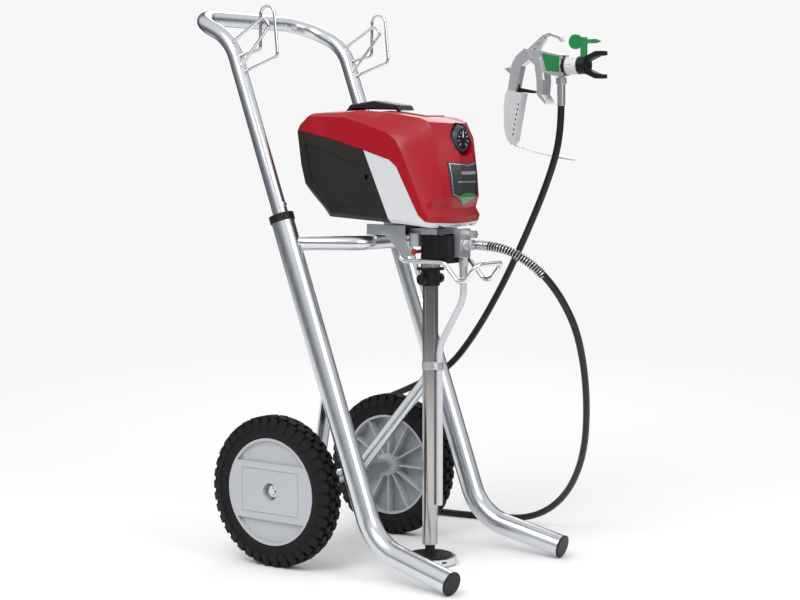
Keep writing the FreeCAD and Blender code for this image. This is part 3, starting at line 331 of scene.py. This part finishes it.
def walk(line, distance):
    """Point and direction at a distance along a line of points."""
    for a, b in zip(line, line[1:]):
        step = (b - a).length
        if distance <= step:
            return a.lerp(b, distance / step), (b - a).normalized()
        distance -= step
    return line[-1], (line[-1] - line[-2]).normalized()


def coil_spring(name, line, start, length, coil_r, wire_r, paint, **how):
    """Wire wound round a stretch of a line, tight at its start and open further out."""
    points = []
    distance, turn = 0.0, 0.0
    while distance < length:
        place, along = walk(line, start + distance)
        side = along.cross(Vector((0.3, 0.2, 0.93))).normalized()
        up = side.cross(along)
        points.append(place + side * (coil_r * math.cos(turn)) + up * (coil_r * math.sin(turn)))
        pitch = TIGHT_PITCH if turn < TIGHT_TURNS * 2 * math.pi else OPEN_PITCH
        turn += math.pi / 8
        distance += pitch / 16
    curve = bpy.data.curves.new(name, "CURVE")
    curve.dimensions = "3D"
    spline = curve.splines.new("POLY")
    spline.points.add(len(points) - 1)
    for point, place in zip(spline.points, points):
        point.co = (*place, 1)
    curve.bevel_depth = wire_r
    curve.bevel_resolution = 2
    curve.use_fill_caps = True
    holder = bpy.data.objects.new(name, curve)
    bpy.context.scene.collection.objects.link(holder)
    mesh = bpy.data.meshes.new_from_object(holder.evaluated_get(bpy.context.evaluated_depsgraph_get()))
    bpy.data.objects.remove(holder)
    return placed(mesh, name, paint=paint, **how)


def node_bmesh(node):
    """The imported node's own shape with its flat faces joined."""
    bm = bmesh.new()
    bm.from_mesh(NODES[node].data)
    bmesh.ops.remove_doubles(bm, verts=bm.verts, dist=0.00001)
    bmesh.ops.dissolve_limit(bm, angle_limit=math.radians(0.8), verts=bm.verts, edges=bm.edges)
    return bm


def rounded(piece, width, angle, segments):
    """Rounds a piece's edges that turn by more than an angle in degrees."""
    bevel = piece.modifiers.new("edges", "BEVEL")
    bevel.width = width
    bevel.segments = segments
    bevel.limit_method = "ANGLE"
    bevel.angle_limit = math.radians(angle)
    bevel.harden_normals = True
    return piece


SOFT_ANGLE = 28


def softened(node, width, segments=2, **how):
    """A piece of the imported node's own shape with rounded edges."""
    piece = from_bmesh(node_bmesh(node), f"{node}_finished", node=node, smooth=SOFT_ANGLE, **how)
    return rounded(piece, width, SOFT_ANGLE, segments)


spring_steel = finish("spring_steel", (0.70, 0.70, 0.72), (0.50, 0.50, 0.53), metallic=1.0,
                      roughness=0.20, unevenness=0.15, grain_scale=700, grain=0.05)
turned_steel = finish("turned_steel", (0.74, 0.74, 0.76), (0.55, 0.55, 0.58), metallic=1.0,
                      roughness=0.18, unevenness=0.18, grain_scale=500, grain=0.08, stretch=(1, 1, 6))
HOSE_LINE = route_points(HOSE_ROUTE)
guard = coil_spring("hose_guard_spring", HOSE_LINE, 0.001, GUARD_LENGTH, GUARD_COIL_R, GUARD_WIRE_R,
                    spring_steel, node="hose_guard")
hose_nut = softened("hose_nut", 0.0008, paint=turned_steel)
ferrule = softened("hose_ferrule", 0.0008, paint=turned_steel)


# ---- Cart tubes
# Zinc-plated steel tube, cold bent and welded. The plating is bright, with fine marks
# along the tube from drawing.

zinc = finish("zinc_plated_tube", (0.74, 0.76, 0.79), (0.55, 0.57, 0.60), metallic=1.0,
              roughness=0.16, unevenness=0.14, grain_scale=260, grain=0.05, stretch=(1, 1, 0.08),
              drift_scale=9, drift=0.7)
for node in ("right_side_tube", "left_side_tube", "handle_tube",
             "right_strut", "left_strut", "axle_tube", "cross_yoke"):
    softened(node, 0.0004, paint=zinc)

WELD_R = 0.0022
WELD_BEADS = 40
WELD_RING_R = 0.0112
WELD_TILT = 0.002               # how far the ring of beads bends along the tube
FOOT_SETBACK, HEAD_SETBACK = 0.0165, 0.0225


def weld_bead(name, centre, axis):
    """Rippled bead round a tube's end where it meets another tube."""
    bm = bmesh.new()
    side = axis.cross(Vector((0, 1, 0))).normalized()
    other = axis.cross(side)
    for k in range(WELD_BEADS):
        a = 2 * math.pi * k / WELD_BEADS
        place = centre + side * (WELD_RING_R * math.cos(a)) + other * (WELD_RING_R * math.sin(a))
        place += axis * (WELD_TILT * math.cos(2 * a))
        bmesh.ops.create_icosphere(bm, subdivisions=1, radius=WELD_R, matrix=Matrix.Translation(place))
    return from_bmesh(bm, name, body="cart", slot="galvanised_tube", paint=weld_metal, smooth=60)


weld_metal = finish("weld_metal", (0.55, 0.55, 0.57), (0.35, 0.35, 0.37), metallic=1.0,
                    roughness=0.34, unevenness=0.2, grain_scale=500, grain=0.3)
for side in (-1, 1):
    word = "left" if side > 0 else "right"
    foot = Vector((side * 0.058, 0.075, 0.127))
    head = Vector((side * 0.1525, -0.0303, 0.312))
    along = (head - foot).normalized()
    weld_bead(f"{word}_strut_foot_weld", foot + along * FOOT_SETBACK, along)
    weld_bead(f"{word}_strut_head_weld", head - along * HEAD_SETBACK, along)


# ---- Plastic caps and collars of the cart
# Moulded black plastic: caps that close the feet, and bushes that the handle slides through.

black_plastic = finish("black_moulding", (0.006, 0.006, 0.007), (0.011, 0.011, 0.012), specular=0.3,
                       roughness=0.36, unevenness=0.14, grain_scale=1400, grain=0.16)
softened("foot_caps", 0.0012, paint=black_plastic, segments=3)
softened("tube_collars", 0.0010, paint=black_plastic, segments=3)


# ---- Hooks, pail hook and wire
# Bright plated round wire, bent cold.

bright_wire = finish("bright_wire", (0.82, 0.83, 0.85), (0.68, 0.69, 0.72), metallic=1.0,
                     roughness=0.10, unevenness=0.10, grain_scale=300, grain=0.03)
for node in ("right_hose_hook", "left_hose_hook", "pail_hook", "hose_keeper"):
    softened(node, 0.0003, paint=bright_wire)
for node in ("right_snap_button", "left_snap_button"):
    softened(node, 0.0012, paint=bright_wire, segments=3)


# ---- Wheels
# A ten inch wheel: a grey moulded rim with a bar across its face, and a black tyre with
# staggered block tread.

WHEEL_Y, WHEEL_Z = 0.075, 0.127
WHEEL_X = 0.16345
RIM_TOP = 0.0902
CARCASS_R = 0.1215
TREAD_R = 0.1269
LUGS = 38
BLOCK_X, BLOCK_W, BLOCK_L, BLOCK_SKEW = 0.0056, 0.0100, 0.0150, 0.22
BLOCK_ROOT = 0.003              # how far a tread block is sunk into the carcass
SHOULDER_X, SHOULDER_R, SHOULDER_LEAN = 0.0163, 0.1146, 0.30
SHOULDER_SIZE = (0.0066, 0.0138, 0.0200)
LUG_EDGE = 0.0009

tyre_rubber = finish("tyre_rubber", (0.006, 0.006, 0.006), (0.013, 0.013, 0.014), specular=0.22,
                     roughness=0.55, unevenness=0.2, grain_scale=700, grain=0.25, drift_scale=40)
rim_plastic = finish("rim_moulding", (0.47, 0.485, 0.51), (0.42, 0.435, 0.46),
                     roughness=0.34, unevenness=0.12, grain_scale=1200, grain=0.10)


def tyre(word, middle):
    """Carcass turned from half a section, then tread blocks and shoulder lugs set round it."""
    bm = bmesh.new()
    half = [(-0.0170, RIM_TOP), (-0.0184, 0.0930), (-0.0199, 0.0990), (-0.0201, 0.1050), (-0.0190, 0.1120),
            (-0.0165, 0.1170), (-0.0095, CARCASS_R - 0.0010), (0.0, CARCASS_R)]
    section = half + [(-x, r) for x, r in reversed(half[:-1])]
    verts = [bm.verts.new((x, 0, r)) for x, r in section]
    edges = [bm.edges.new(pair) for pair in zip(verts, verts[1:] + verts[:1])]
    bmesh.ops.spin(bm, geom=verts + edges, cent=(0, 0, 0), axis=(1, 0, 0), angle=2 * math.pi, steps=96,
                   use_merge=True)
    bmesh.ops.remove_doubles(bm, verts=bm.verts, dist=0.00002)
    bmesh.ops.recalc_face_normals(bm, faces=bm.faces)
    step = math.pi / LUGS
    for k in range(LUGS):
        turn = 2 * math.pi * k / LUGS
        tread_block(bm, -BLOCK_X, turn)
        tread_block(bm, BLOCK_X, turn + step)
        shoulder_block(bm, -SHOULDER_X, turn + step)
        shoulder_block(bm, SHOULDER_X, turn)
    bmesh.ops.transform(bm, matrix=Matrix.Translation((middle, WHEEL_Y, WHEEL_Z)), verts=bm.verts)
    return from_bmesh(bm, f"{word}_tyre_treaded", node=f"{word}_tyre", paint=tyre_rubber, smooth=32)


def lug(bm, size, lean, place, turn):
    """Block with bevelled edges: leaned, put in place at the wheel's top, then turned round the wheel."""
    made = bmesh.ops.create_cube(bm, size=1)["verts"]
    bmesh.ops.transform(bm, matrix=lean @ Matrix.Diagonal((*size, 1)), verts=made)
    bmesh.ops.transform(bm, matrix=Matrix.Rotation(turn, 4, "X") @ Matrix.Translation(place), verts=made)
    edges = list({edge for vert in made for edge in vert.link_edges})
    bmesh.ops.bevel(bm, geom=edges, offset=LUG_EDGE, segments=1, profile=0.5, affect="EDGES", material=-1)


def tread_block(bm, x, turn):
    size = (BLOCK_W, BLOCK_L, TREAD_R - CARCASS_R + BLOCK_ROOT)
    middle = (CARCASS_R + TREAD_R) / 2 - BLOCK_ROOT / 2
    lug(bm, size, Matrix.Rotation(BLOCK_SKEW, 4, "Z"), (x, 0, middle), turn)


def shoulder_block(bm, x, turn):
    lean = Matrix.Rotation(math.copysign(SHOULDER_LEAN, -x), 4, "Y")
    lug(bm, SHOULDER_SIZE, lean, (x, 0, SHOULDER_R), turn)


for word, side in (("right", -1), ("left", 1)):
    tyre(word, side * WHEEL_X)

for node in ("axle_rod", "axle_nuts"):
    softened(node, 0.0005, paint=turned_steel)


# ---- Housing shells
# Three injection-moulded shells that meet along open seams: gloss red over the top and
# nose, light grey under the nose, satin black over the motor. The nose is bowed, with a
# bevel down each side.

WALL = 3.0
# Side outlines (y, z) in mm: of the form's middle, of the bevel's front edge, of the ridge
# along the bevel, of the step behind it, and of the flat side. Each has the same number of
# points. The stations give each outline's distance from the middle.
UNDERSIDE = [(-110, 575), (32, 583), (45, 598), (70, 621), (85, 637), (94, 669), (102, 726)]
MIDDLE = [(76, 756), (-11, 761), (-81, 757), (-150, 747), (-178, 738), (-191, 705), (-199, 650), (-197, 618),
          (-183, 600), (-187, 587), (-184, 576), (-177, 569), *UNDERSIDE, (100, 742)]
FRONT_EDGE = [(76, 756), (-11, 760), (-81, 755), (-140, 747), (-159, 740), (-173, 714), (-181, 655),
              (-184, 618), (-175, 600), (-180, 587), (-177, 576), (-172, 569), *UNDERSIDE, (100, 740)]
RIDGE = [(76, 754), (-8, 757), (-58, 747), (-112, 733), (-132, 724), (-147, 702), (-163, 648), (-175, 613),
         (-170, 600), (-177, 587), (-174, 576), (-169, 569), *UNDERSIDE, (99, 738)]
STEP = [(76, 752), (-4, 752), (-46, 741), (-96, 726), (-115, 716), (-128, 694), (-149, 645), (-165, 609),
        (-167, 599), (-175, 587), (-172, 577), (-167, 571), *UNDERSIDE, (96, 737)]
FLAT_SIDE = [(76, 750), (0, 749), (-40, 738), (-88, 723), (-106, 712), (-119, 691), (-141, 643), (-158, 607),
             (-163, 598), (-171, 587), (-168, 579), (-161, 574), (-110, 581), (28, 590), (42, 603), (66, 626),
             (81, 641), (90, 672), (98, 722), (92, 736)]
HALF_STATIONS = [(20, MIDDLE), (54, FRONT_EDGE), (65, RIDGE), (70.5, STEP), (75, FLAT_SIDE)]
STATIONS = [(-x, outline) for x, outline in reversed(HALF_STATIONS)] + HALF_STATIONS
RED_EDGE = [(115, 729), (104, 729), (27, 713), (-40, 695), (-94, 679), (-108, 668), (-138, 614),
            (-152, 590), (-165, 580), (-215, 569)]
SEAM = 0.6
KNOB_Y, KNOB_Z = -163, 712
RECESS_R, RECESS_MOUTH_R, RECESS_DEPTH = 26.5, 29.5, 60
POCKET_TOP_Y, POCKET_FLOOR_Y = (-70, 30), (-64, 24)
POCKET_FLOOR_Z, POCKET_HALF = 733, 42
ABOVE_ALL, BELOW_ALL, BESIDE_ALL = 800, 540, 100    # reach of cutters beyond the housing
SPLIT_TOP, SPLIT_FOOT = (-40, 696), (-102, 560)     # line between the grey and the black shell


def inset_outline(points, distance):
    """Polygon moved inward by a distance, side by side."""
    area = sum(a[0] * b[1] - b[0] * a[1] for a, b in zip(points, points[1:] + points[:1]))
    sign = 1 if area > 0 else -1
    moved = []
    for i, here in enumerate(points):
        before, after = Vector(points[i - 1]), Vector(points[(i + 1) % len(points)])
        here = Vector(here)
        d1, d2 = (here - before).normalized(), (after - here).normalized()
        n1, n2 = Vector((-d1.y, d1.x)) * sign, Vector((-d2.y, d2.x)) * sign
        moved.append(tuple(here + (n1 + n2) * (distance / (1 + n1.dot(n2)))))
    return moved


def loft(stations):
    """Closed solid through outlines that stand across X, one at each station, in mm."""
    bm = bmesh.new()
    loops = []
    for x, outline in stations:
        verts = [bm.verts.new((x / 1000, y / 1000, z / 1000)) for y, z in outline]
        loops.append((verts, [bm.edges.new(pair) for pair in zip(verts, verts[1:] + verts[:1])]))
    for (_, first), (_, second) in zip(loops, loops[1:]):
        bmesh.ops.bridge_loops(bm, edges=first + second)
    bm.faces.new(loops[0][0])
    bm.faces.new(loops[-1][0])
    bmesh.ops.recalc_face_normals(bm, faces=bm.faces)
    return bm


def slab(outline, low, high):
    """Solid of one outline (y, z), from one X to another, in mm."""
    return loft([(low, outline), (high, outline)])


def block(x0, x1, y0, y1, z0, z1):
    return slab([(y0, z0), (y1, z0), (y1, z1), (y0, z1)], x0, x1)


def tool_object(bm, name="cutter"):
    """Holder for a solid that is still being cut, or that cuts another."""
    mesh = bpy.data.meshes.new(name)
    bm.to_mesh(mesh)
    bm.free()
    holder = bpy.data.objects.new(name, mesh)
    bpy.context.scene.collection.objects.link(holder)
    return holder


def carve(holder, cutter, operation="DIFFERENCE"):
    """Cuts one solid with another and removes the cutter."""
    modifier = holder.modifiers.new("cut", "BOOLEAN")
    modifier.operation = operation
    modifier.solver = "EXACT"
    modifier.object = cutter
    bpy.context.view_layer.update()
    cut = bpy.data.meshes.new_from_object(holder.evaluated_get(bpy.context.evaluated_depsgraph_get()))
    holder.modifiers.clear()
    old = holder.data
    holder.data = cut
    bpy.data.meshes.remove(old)
    bpy.data.objects.remove(cutter)
    return holder


def finished(holder, name, width, angle=20, segments=3, **how):
    """Turns a carved solid into a piece with rounded edges."""
    bm = bmesh.new()
    bm.from_mesh(holder.data)
    bpy.data.objects.remove(holder)
    bmesh.ops.remove_doubles(bm, verts=bm.verts, dist=0.00002)
    bmesh.ops.dissolve_limit(bm, angle_limit=math.radians(0.6), verts=bm.verts, edges=bm.edges)
    return rounded(from_bmesh(bm, name, smooth=angle, **how), width, angle, segments)


def drum(centre, radius, depth, radius_front=None):
    """Cylinder or cone along Y about a centre, in mm."""
    bm = bmesh.new()
    place = Matrix.Translation(Vector(centre) / 1000) @ Matrix.Rotation(math.pi / 2, 4, "X")
    bmesh.ops.create_cone(bm, cap_ends=True, segments=64, radius1=radius / 1000,
                          radius2=(radius if radius_front is None else radius_front) / 1000,
                          depth=depth / 1000, matrix=place)
    return bm


def housing_form(inset):
    """The whole form, or its hollow, with the knob's recess and the pocket under the handle."""
    stations = [(math.copysign(abs(x) - inset * (abs(x) > 60), x), inset_outline(outline, inset))
                for x, outline in STATIONS]
    form = tool_object(loft(stations), "housing_form")
    recess = drum((0, KNOB_Y + inset - RECESS_DEPTH / 2, KNOB_Z), RECESS_R + inset, RECESS_DEPTH,
                  RECESS_MOUTH_R + inset)
    carve(form, tool_object(recess))
    floor = POCKET_FLOOR_Z - inset
    pocket = slab([(POCKET_TOP_Y[0] - inset, ABOVE_ALL), (POCKET_FLOOR_Y[0] - inset, floor),
                   (POCKET_FLOOR_Y[1] + inset, floor), (POCKET_TOP_Y[1] + inset, ABOVE_ALL)],
                  -POCKET_HALF - inset, POCKET_HALF + inset)
    return carve(form, tool_object(pocket))


def copied(holder, name):
    twin = bpy.data.objects.new(name, holder.data.copy())
    bpy.context.scene.collection.objects.link(twin)
    return twin


red_gloss = finish("red_gloss_moulding", (0.37, 0.004, 0.014), (0.29, 0.002, 0.010), coat=0.12, specular=0.30,
                   roughness=0.30, unevenness=0.10, grain_scale=1000, grain=0.04, drift_scale=12)
light_grey = finish("light_grey_moulding", (0.66, 0.67, 0.69), (0.60, 0.61, 0.63), coat=0.2,
                    roughness=0.28, unevenness=0.10, grain_scale=1000, grain=0.05)
satin_black = finish("satin_black_moulding", (0.018, 0.015, 0.014), (0.027, 0.023, 0.021), specular=0.35,
                     roughness=0.30, unevenness=0.14, grain_scale=1500, grain=0.12)

shell = carve(housing_form(0), housing_form(WALL))
above = RED_EDGE + [(-215, ABOVE_ALL), (115, ABOVE_ALL)]
below = [(y, z - SEAM) for y, z in RED_EDGE] + [(-215, BELOW_ALL), (115, BELOW_ALL)]
behind = [SPLIT_TOP, SPLIT_FOOT, (115, BELOW_ALL), (115, ABOVE_ALL), (SPLIT_TOP[0], ABOVE_ALL)]
ahead = [(SPLIT_TOP[0] - SEAM, SPLIT_TOP[1]), (SPLIT_FOOT[0] - SEAM, SPLIT_FOOT[1]),
         (SPLIT_FOOT[0] - SEAM, BELOW_ALL), (-230, BELOW_ALL), (-230, ABOVE_ALL),
         (SPLIT_TOP[0] - SEAM, ABOVE_ALL)]


def part_of(holder, outline):
    """Keeps what lies inside a side outline."""
    return carve(holder, tool_object(slab(outline, -BESIDE_ALL, BESIDE_ALL)), "INTERSECT")


red = part_of(copied(shell, "red"), above)
carve(red, tool_object(drum((0, KNOB_Y, KNOB_Z), 5, 24)))
low = part_of(shell, below)
carve(low, tool_object(block(-49, 49, -176, -22, 555, 592)))
rear = part_of(copied(low, "rear"), behind)
base = part_of(low, ahead)
carve(rear, tool_object(drum((0, 100, 700), 9.15, 60)))
finished(red, "top_shell_moulded", 0.0022, node="top_shell", paint=red_gloss)
finished(base, "base_shell_moulded", 0.0016, node="base_shell", paint=light_grey)


# The black shell has a sunken panel on each side, louvres and a slot.

PANEL_DEEP, SLOT_DEEP, OUTSIDE = 72.8, 70, 80
SLOT = [(-50, 646), (-44, 646), (-44, 655), (-50, 655)]
PANEL = [(6, 683), (-24, 672), (-35, 648), (-60, 606), (-40, 597), (26, 601), (58, 631), (72, 650),
         (80, 690), (84, 706)]
for side in (-1, 1):
    carve(rear, tool_object(slab(PANEL, *sorted((side * PANEL_DEEP, side * OUTSIDE)))))
    carve(rear, tool_object(slab(SLOT, *sorted((side * SLOT_DEEP, side * OUTSIDE)))))
for k in range(6):
    z = 640 + 9 * k
    carve(rear, tool_object(block(-44, 44, 70, 110, z, z + 3.5)))
finished(rear, "rear_shell_moulded", 0.0009, node="rear_shell", paint=satin_black)


# ---- Rim faces
# The moulding's bar has a shallow line pressed into its face, a little inside its edges.

LINE_W, LINE_DEEP = 1.2, 0.9
RIM_FACE = 180.5
LINE_Y, LINE_Z = (14, 136), (90, 164)

for word, side in (("right", -1), ("left", 1)):
    wheel_rim = tool_object(node_bmesh(f"{word}_rim"), "rim")
    low_x, high_x = sorted((side * (RIM_FACE - LINE_DEEP), side * (RIM_FACE + 1)))
    for y0, y1, z0, z1 in ((LINE_Y[0], LINE_Y[1], LINE_Z[0], LINE_Z[0] + LINE_W),
                           (LINE_Y[0], LINE_Y[1], LINE_Z[1] - LINE_W, LINE_Z[1]),
                           (LINE_Y[0], LINE_Y[0] + LINE_W, LINE_Z[0], LINE_Z[1]),
                           (LINE_Y[1] - LINE_W, LINE_Y[1], LINE_Z[0], LINE_Z[1])):
        carve(wheel_rim, tool_object(block(low_x, high_x, y0, y1, z0, z1)))
    finished(wheel_rim, f"{word}_rim_moulded", 0.0009, angle=28, segments=2, node=f"{word}_rim",
             paint=rim_plastic)


# ---- Carry handle and its plinth
# A black moulded bridge over the pocket, and a light strip on the nose in front of it.

softened("carry_handle", 0.0030, paint=satin_black, segments=3)
softened("handle_plinth", 0.0012, paint=light_grey, segments=3)


# ---- Badge
# A charcoal shield in a silver rim, with a plain green field at its foot.

badge_dark = finish("badge_charcoal", (0.020, 0.022, 0.026), (0.030, 0.032, 0.036), coat=0.6,
                    roughness=0.28, unevenness=0.08, grain_scale=900, grain=0.03)
badge_silver = finish("badge_silver", (0.62, 0.63, 0.66), (0.52, 0.53, 0.56), metallic=0.9,
                      roughness=0.22, unevenness=0.10, grain_scale=900, grain=0.03)
badge_green = finish("badge_green", (0.02, 0.22, 0.05), (0.015, 0.18, 0.04), coat=0.6,
                     roughness=0.26, unevenness=0.08, grain_scale=900, grain=0.03)
SHIELD = [(-41, 676), (0, 672), (41, 676), (36, 622), (0, 604), (-36, 622)]


def shield_prism(outline, y0, y1):
    """Solid of a front outline (x, z), between two places along Y, in mm."""
    bm = bmesh.new()
    face = bm.faces.new([bm.verts.new((x / 1000, y0 / 1000, z / 1000)) for x, z in outline])
    grown = bmesh.ops.extrude_face_region(bm, geom=[face])["geom"]
    moved = [g for g in grown if isinstance(g, bmesh.types.BMVert)]
    bmesh.ops.translate(bm, verts=moved, vec=(0, (y1 - y0) / 1000, 0))
    bmesh.ops.recalc_face_normals(bm, faces=bm.faces)
    return bm


def nose_form(forward):
    """The housing's form, moved forward by a distance in mm."""
    return loft([(x, [(y - forward, z) for y, z in outline]) for x, outline in STATIONS])


def badge_layer(name, outline, proud, width, paint, **how):
    """Thin plate of a front outline that follows the nose and stands proud of it."""
    plate = tool_object(nose_form(proud), "badge_form")
    carve(plate, tool_object(shield_prism(outline, -230, -150)), "INTERSECT")
    carve(plate, tool_object(nose_form(-0.2)))
    return finished(plate, name, width, segments=2, paint=paint, **how)


badge_layer("badge_plate", SHIELD, 1.3, 0.0005, badge_dark, node="front_badge")
ON_BADGE = {"body": "cart", "slot": "badge_dark"}
badge_layer("badge_line", inset_outline(SHIELD, 2.0), 1.7, 0.0003, badge_silver, **ON_BADGE)
badge_layer("badge_field", inset_outline(SHIELD, 3.0), 1.95, 0.0003, badge_dark, **ON_BADGE)
FIELD_FOOT = [(24, 619), (15, 623.5), (0, 625), (-15, 623.5), (-24, 619), (0, 604.5)]
badge_layer("badge_foot", FIELD_FOOT, 2.3, 0.0003, badge_green, **ON_BADGE)
for k, (half, height, z) in enumerate(((20, 5, 655), (26, 2.2, 642))):
    bar = [(-half, z), (half, z), (half, z + height), (-half, z + height)]
    badge_layer(f"badge_bar_{k + 1}", bar, 2.2, 0.0002, badge_silver, **ON_BADGE)


# ---- Pressure knob
# A dark blue-grey ribbed knob with a black face, a white pointer and plain ticks.

knob_grey = finish("knob_moulding", (0.030, 0.040, 0.058), (0.045, 0.056, 0.075),
                   roughness=0.36, unevenness=0.12, grain_scale=1300, grain=0.12)
softened("pressure_knob", 0.0008, paint=knob_grey, segments=2)
mark_white = finish("mark_white", (0.80, 0.80, 0.80), (0.75, 0.75, 0.75), roughness=0.4, grain=0.02)
FACE_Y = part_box("pressure_knob")[0].y * 1000
DIAL_R = 16.5

dial = tool_object(drum((0, FACE_Y - 0.15, KNOB_Z), DIAL_R, 0.8), "dial")
finished(dial, "knob_dial_face", 0.0003, body="knob", slot="knob_blue_grey", paint=black_plastic)


def dial_mark(name, inner, outer, half, angle):
    """White bar on the knob's face, at an angle from its top."""
    bm = block(-half, half, FACE_Y - 0.75, FACE_Y - 0.3, inner, outer)
    turn = Matrix.Rotation(math.radians(angle), 4, "Y")
    bmesh.ops.transform(bm, matrix=Matrix.Translation((0, 0, KNOB_Z / 1000)) @ turn, verts=bm.verts)
    finished(tool_object(bm, name), name, 0.0001, segments=1, body="knob", slot="knob_blue_grey",
             paint=mark_white)


dial_mark("knob_pointer", 3, 13, 1.3, 0)
for k in range(9):
    dial_mark(f"knob_tick_{k + 1}", 11 if k % 2 else 9.5, 14.5, 0.5, -135 + 33.75 * k)


# ---- Drive
# Inside: the motor with its fan, the pinion and gear, and the piston's yoke, on a casting.

dark_steel = finish("dark_steel", (0.32, 0.33, 0.35), (0.22, 0.23, 0.25), metallic=1.0,
                    roughness=0.32, unevenness=0.2, grain_scale=600, grain=0.1)
cast_aluminium = finish("cast_aluminium", (0.62, 0.63, 0.65), (0.48, 0.49, 0.51), metallic=1.0,
                        roughness=0.34, unevenness=0.2, grain_scale=900, grain=0.3)
board_green = finish("circuit_board", (0.01, 0.12, 0.04), (0.02, 0.16, 0.06), coat=0.4,
                     roughness=0.4, grain=0.1)
fan_black = finish("fan_moulding", (0.02, 0.02, 0.022), (0.03, 0.03, 0.032), roughness=0.5, grain=0.1)
seal_rubber = finish("seal_rubber", (0.012, 0.012, 0.012), (0.02, 0.02, 0.02), roughness=0.6, grain=0.2)
for node, paint in (("motor_case", dark_steel), ("motor_armature", dark_steel), ("drive_gear", dark_steel),
                    ("piston_yoke", dark_steel), ("cooling_fan", fan_black), ("control_board", board_green),
                    ("piston_seal", seal_rubber), ("inlet_valve", turned_steel),
                    ("lead_gland", black_plastic)):
    softened(node, 0.0004, paint=paint)


# ---- Pump, bracket and outlet
# The steel pump hangs in a cast foot on a folded zinc bracket, inside a ribbed black cover;
# the outlet block stands in front of it.

zinc_sheet = finish("zinc_sheet", (0.66, 0.67, 0.69), (0.52, 0.53, 0.56), metallic=1.0,
                    roughness=0.28, unevenness=0.18, grain_scale=500, grain=0.1)
softened("pump_bracket", 0.0007, paint=zinc_sheet)
softened("gearbox", 0.0012, paint=cast_aluminium)
softened("outlet_block", 0.0010, paint=cast_aluminium, segments=3)
softened("pump_body", 0.0006, paint=turned_steel)
softened("pump_cover", 0.0007, paint=black_plastic)
softened("inlet_pusher", 0.0006, paint=red_gloss)


# ---- Suction set, return tube and clip
# A plated tube drops into the paint from a black coupling nut; a strainer with a pale
# cage plugs into its foot. The thin return tube is held to it by a band.

softened("suction_nut", 0.0012, paint=black_plastic, segments=3)
dark_plating = finish("dark_plating", (0.50, 0.48, 0.46), (0.34, 0.32, 0.31), metallic=1.0,
                      roughness=0.12, unevenness=0.1, grain_scale=400, grain=0.03)
softened("suction_tube", 0.0004, paint=dark_plating)
softened("strainer", 0.0007, paint=black_plastic)
cage_pale = finish("cage_moulding", (0.66, 0.67, 0.69), (0.58, 0.59, 0.61), roughness=0.3, grain=0.05)
softened("strainer_cage", 0.0007, paint=cage_pale)
return_clear = finish("return_tube_plastic", (0.58, 0.60, 0.63), (0.50, 0.52, 0.55), coat=0.5,
                      roughness=0.22, grain=0.03)
softened("return_tube", 0.0003, paint=return_clear)
softened("tube_clip", 0.0006, paint=bright_wire)


# ---- Gun
# A polished aluminium casting with a satin grip, a steel trigger on its pivot, a black
# lock, a light nut and a black tip guard with a green reversible tip.

polished = finish("polished_aluminium", (0.80, 0.81, 0.83), (0.66, 0.67, 0.70), metallic=0.75,
                  roughness=0.18, unevenness=0.14, grain_scale=500, grain=0.05)
gun = softened("gun_body", 0.0016, paint=polished, segments=3)
satin_aluminium = finish("satin_aluminium", (0.72, 0.73, 0.75), (0.62, 0.63, 0.66), metallic=0.25,
                         roughness=0.38, unevenness=0.12, grain_scale=1400, grain=0.25)
gun.data.materials.append(satin_aluminium)
gun.data.materials.append(black_plastic)
GRIP_TOP_Z = 0.7955
COLLAR_Y = (-0.2497, -0.2425)
COLLAR_R = (0.0125, 0.0175)
BARREL_Z = 0.837
GUN_X = 230
for polygon in gun.data.polygons:
    x, y, z = polygon.center
    out = math.hypot(x - GUN_X / 1000, z - BARREL_Z)
    if z < GRIP_TOP_Z:
        polygon.material_index = 1
    elif COLLAR_Y[0] <= y <= COLLAR_Y[1] and COLLAR_R[0] < out < COLLAR_R[1]:
        polygon.material_index = 2
softened("gun_trigger", 0.0006, paint=polished)
softened("trigger_lock", 0.0010, paint=black_plastic)
softened("gun_swivel", 0.0008, paint=turned_steel)
nut_grey = finish("nut_moulding", (0.70, 0.71, 0.73), (0.62, 0.63, 0.66), coat=0.3,
                  roughness=0.28, grain=0.05)
softened("guard_nut", 0.0008, paint=nut_grey)
softened("tip_guard", 0.0012, paint=black_plastic, segments=3)
tip_green = finish("tip_green", (0.006, 0.24, 0.065), (0.005, 0.18, 0.05), coat=0.3,
                   roughness=0.3, grain=0.05)
softened("spray_tip", 0.0008, paint=tip_green)

# A plain green field on each side of the body, and a row of slots down the grip that are not cut: thin black
# strips stand in their place, painted shade for the dark inside each slot.
LABEL = [(-203, 859), (-238, 852.5), (-238, 826), (-212, 829)]
LABEL_HALF, GRIP_HALF = 12, 9.5
GRIP_SLOT_SHADES = 7
for side, word in ((-1, "right"), (1, "left")):
    face = GUN_X + side * LABEL_HALF
    label = slab(LABEL, *sorted((face - 0.2 * side, face + side * 0.6)))
    finished(tool_object(label), f"{word}_gun_label", 0.0003, body="cart", slot="tip_green",
             paint=badge_green)
    face = GUN_X + side * GRIP_HALF
    for k in range(GRIP_SLOT_SHADES):
        y, z = -154 + 1.8 * k, 772 - 8.6 * k
        # Black strip on the grip's face: painted shade where a slot would be.
        slot = slab([(y - 1.2, z - 2.2), (y + 1.2, z - 1.4), (y + 0.6, z + 2.2), (y - 1.8, z + 1.4)],
                    *sorted((face - side, face + side * 0.2)))
        finished(tool_object(slot), f"{word}_grip_slot_shade_{k + 1}", 0.0001, segments=1, body="cart",
                 slot="black_plastic", paint=black_plastic)
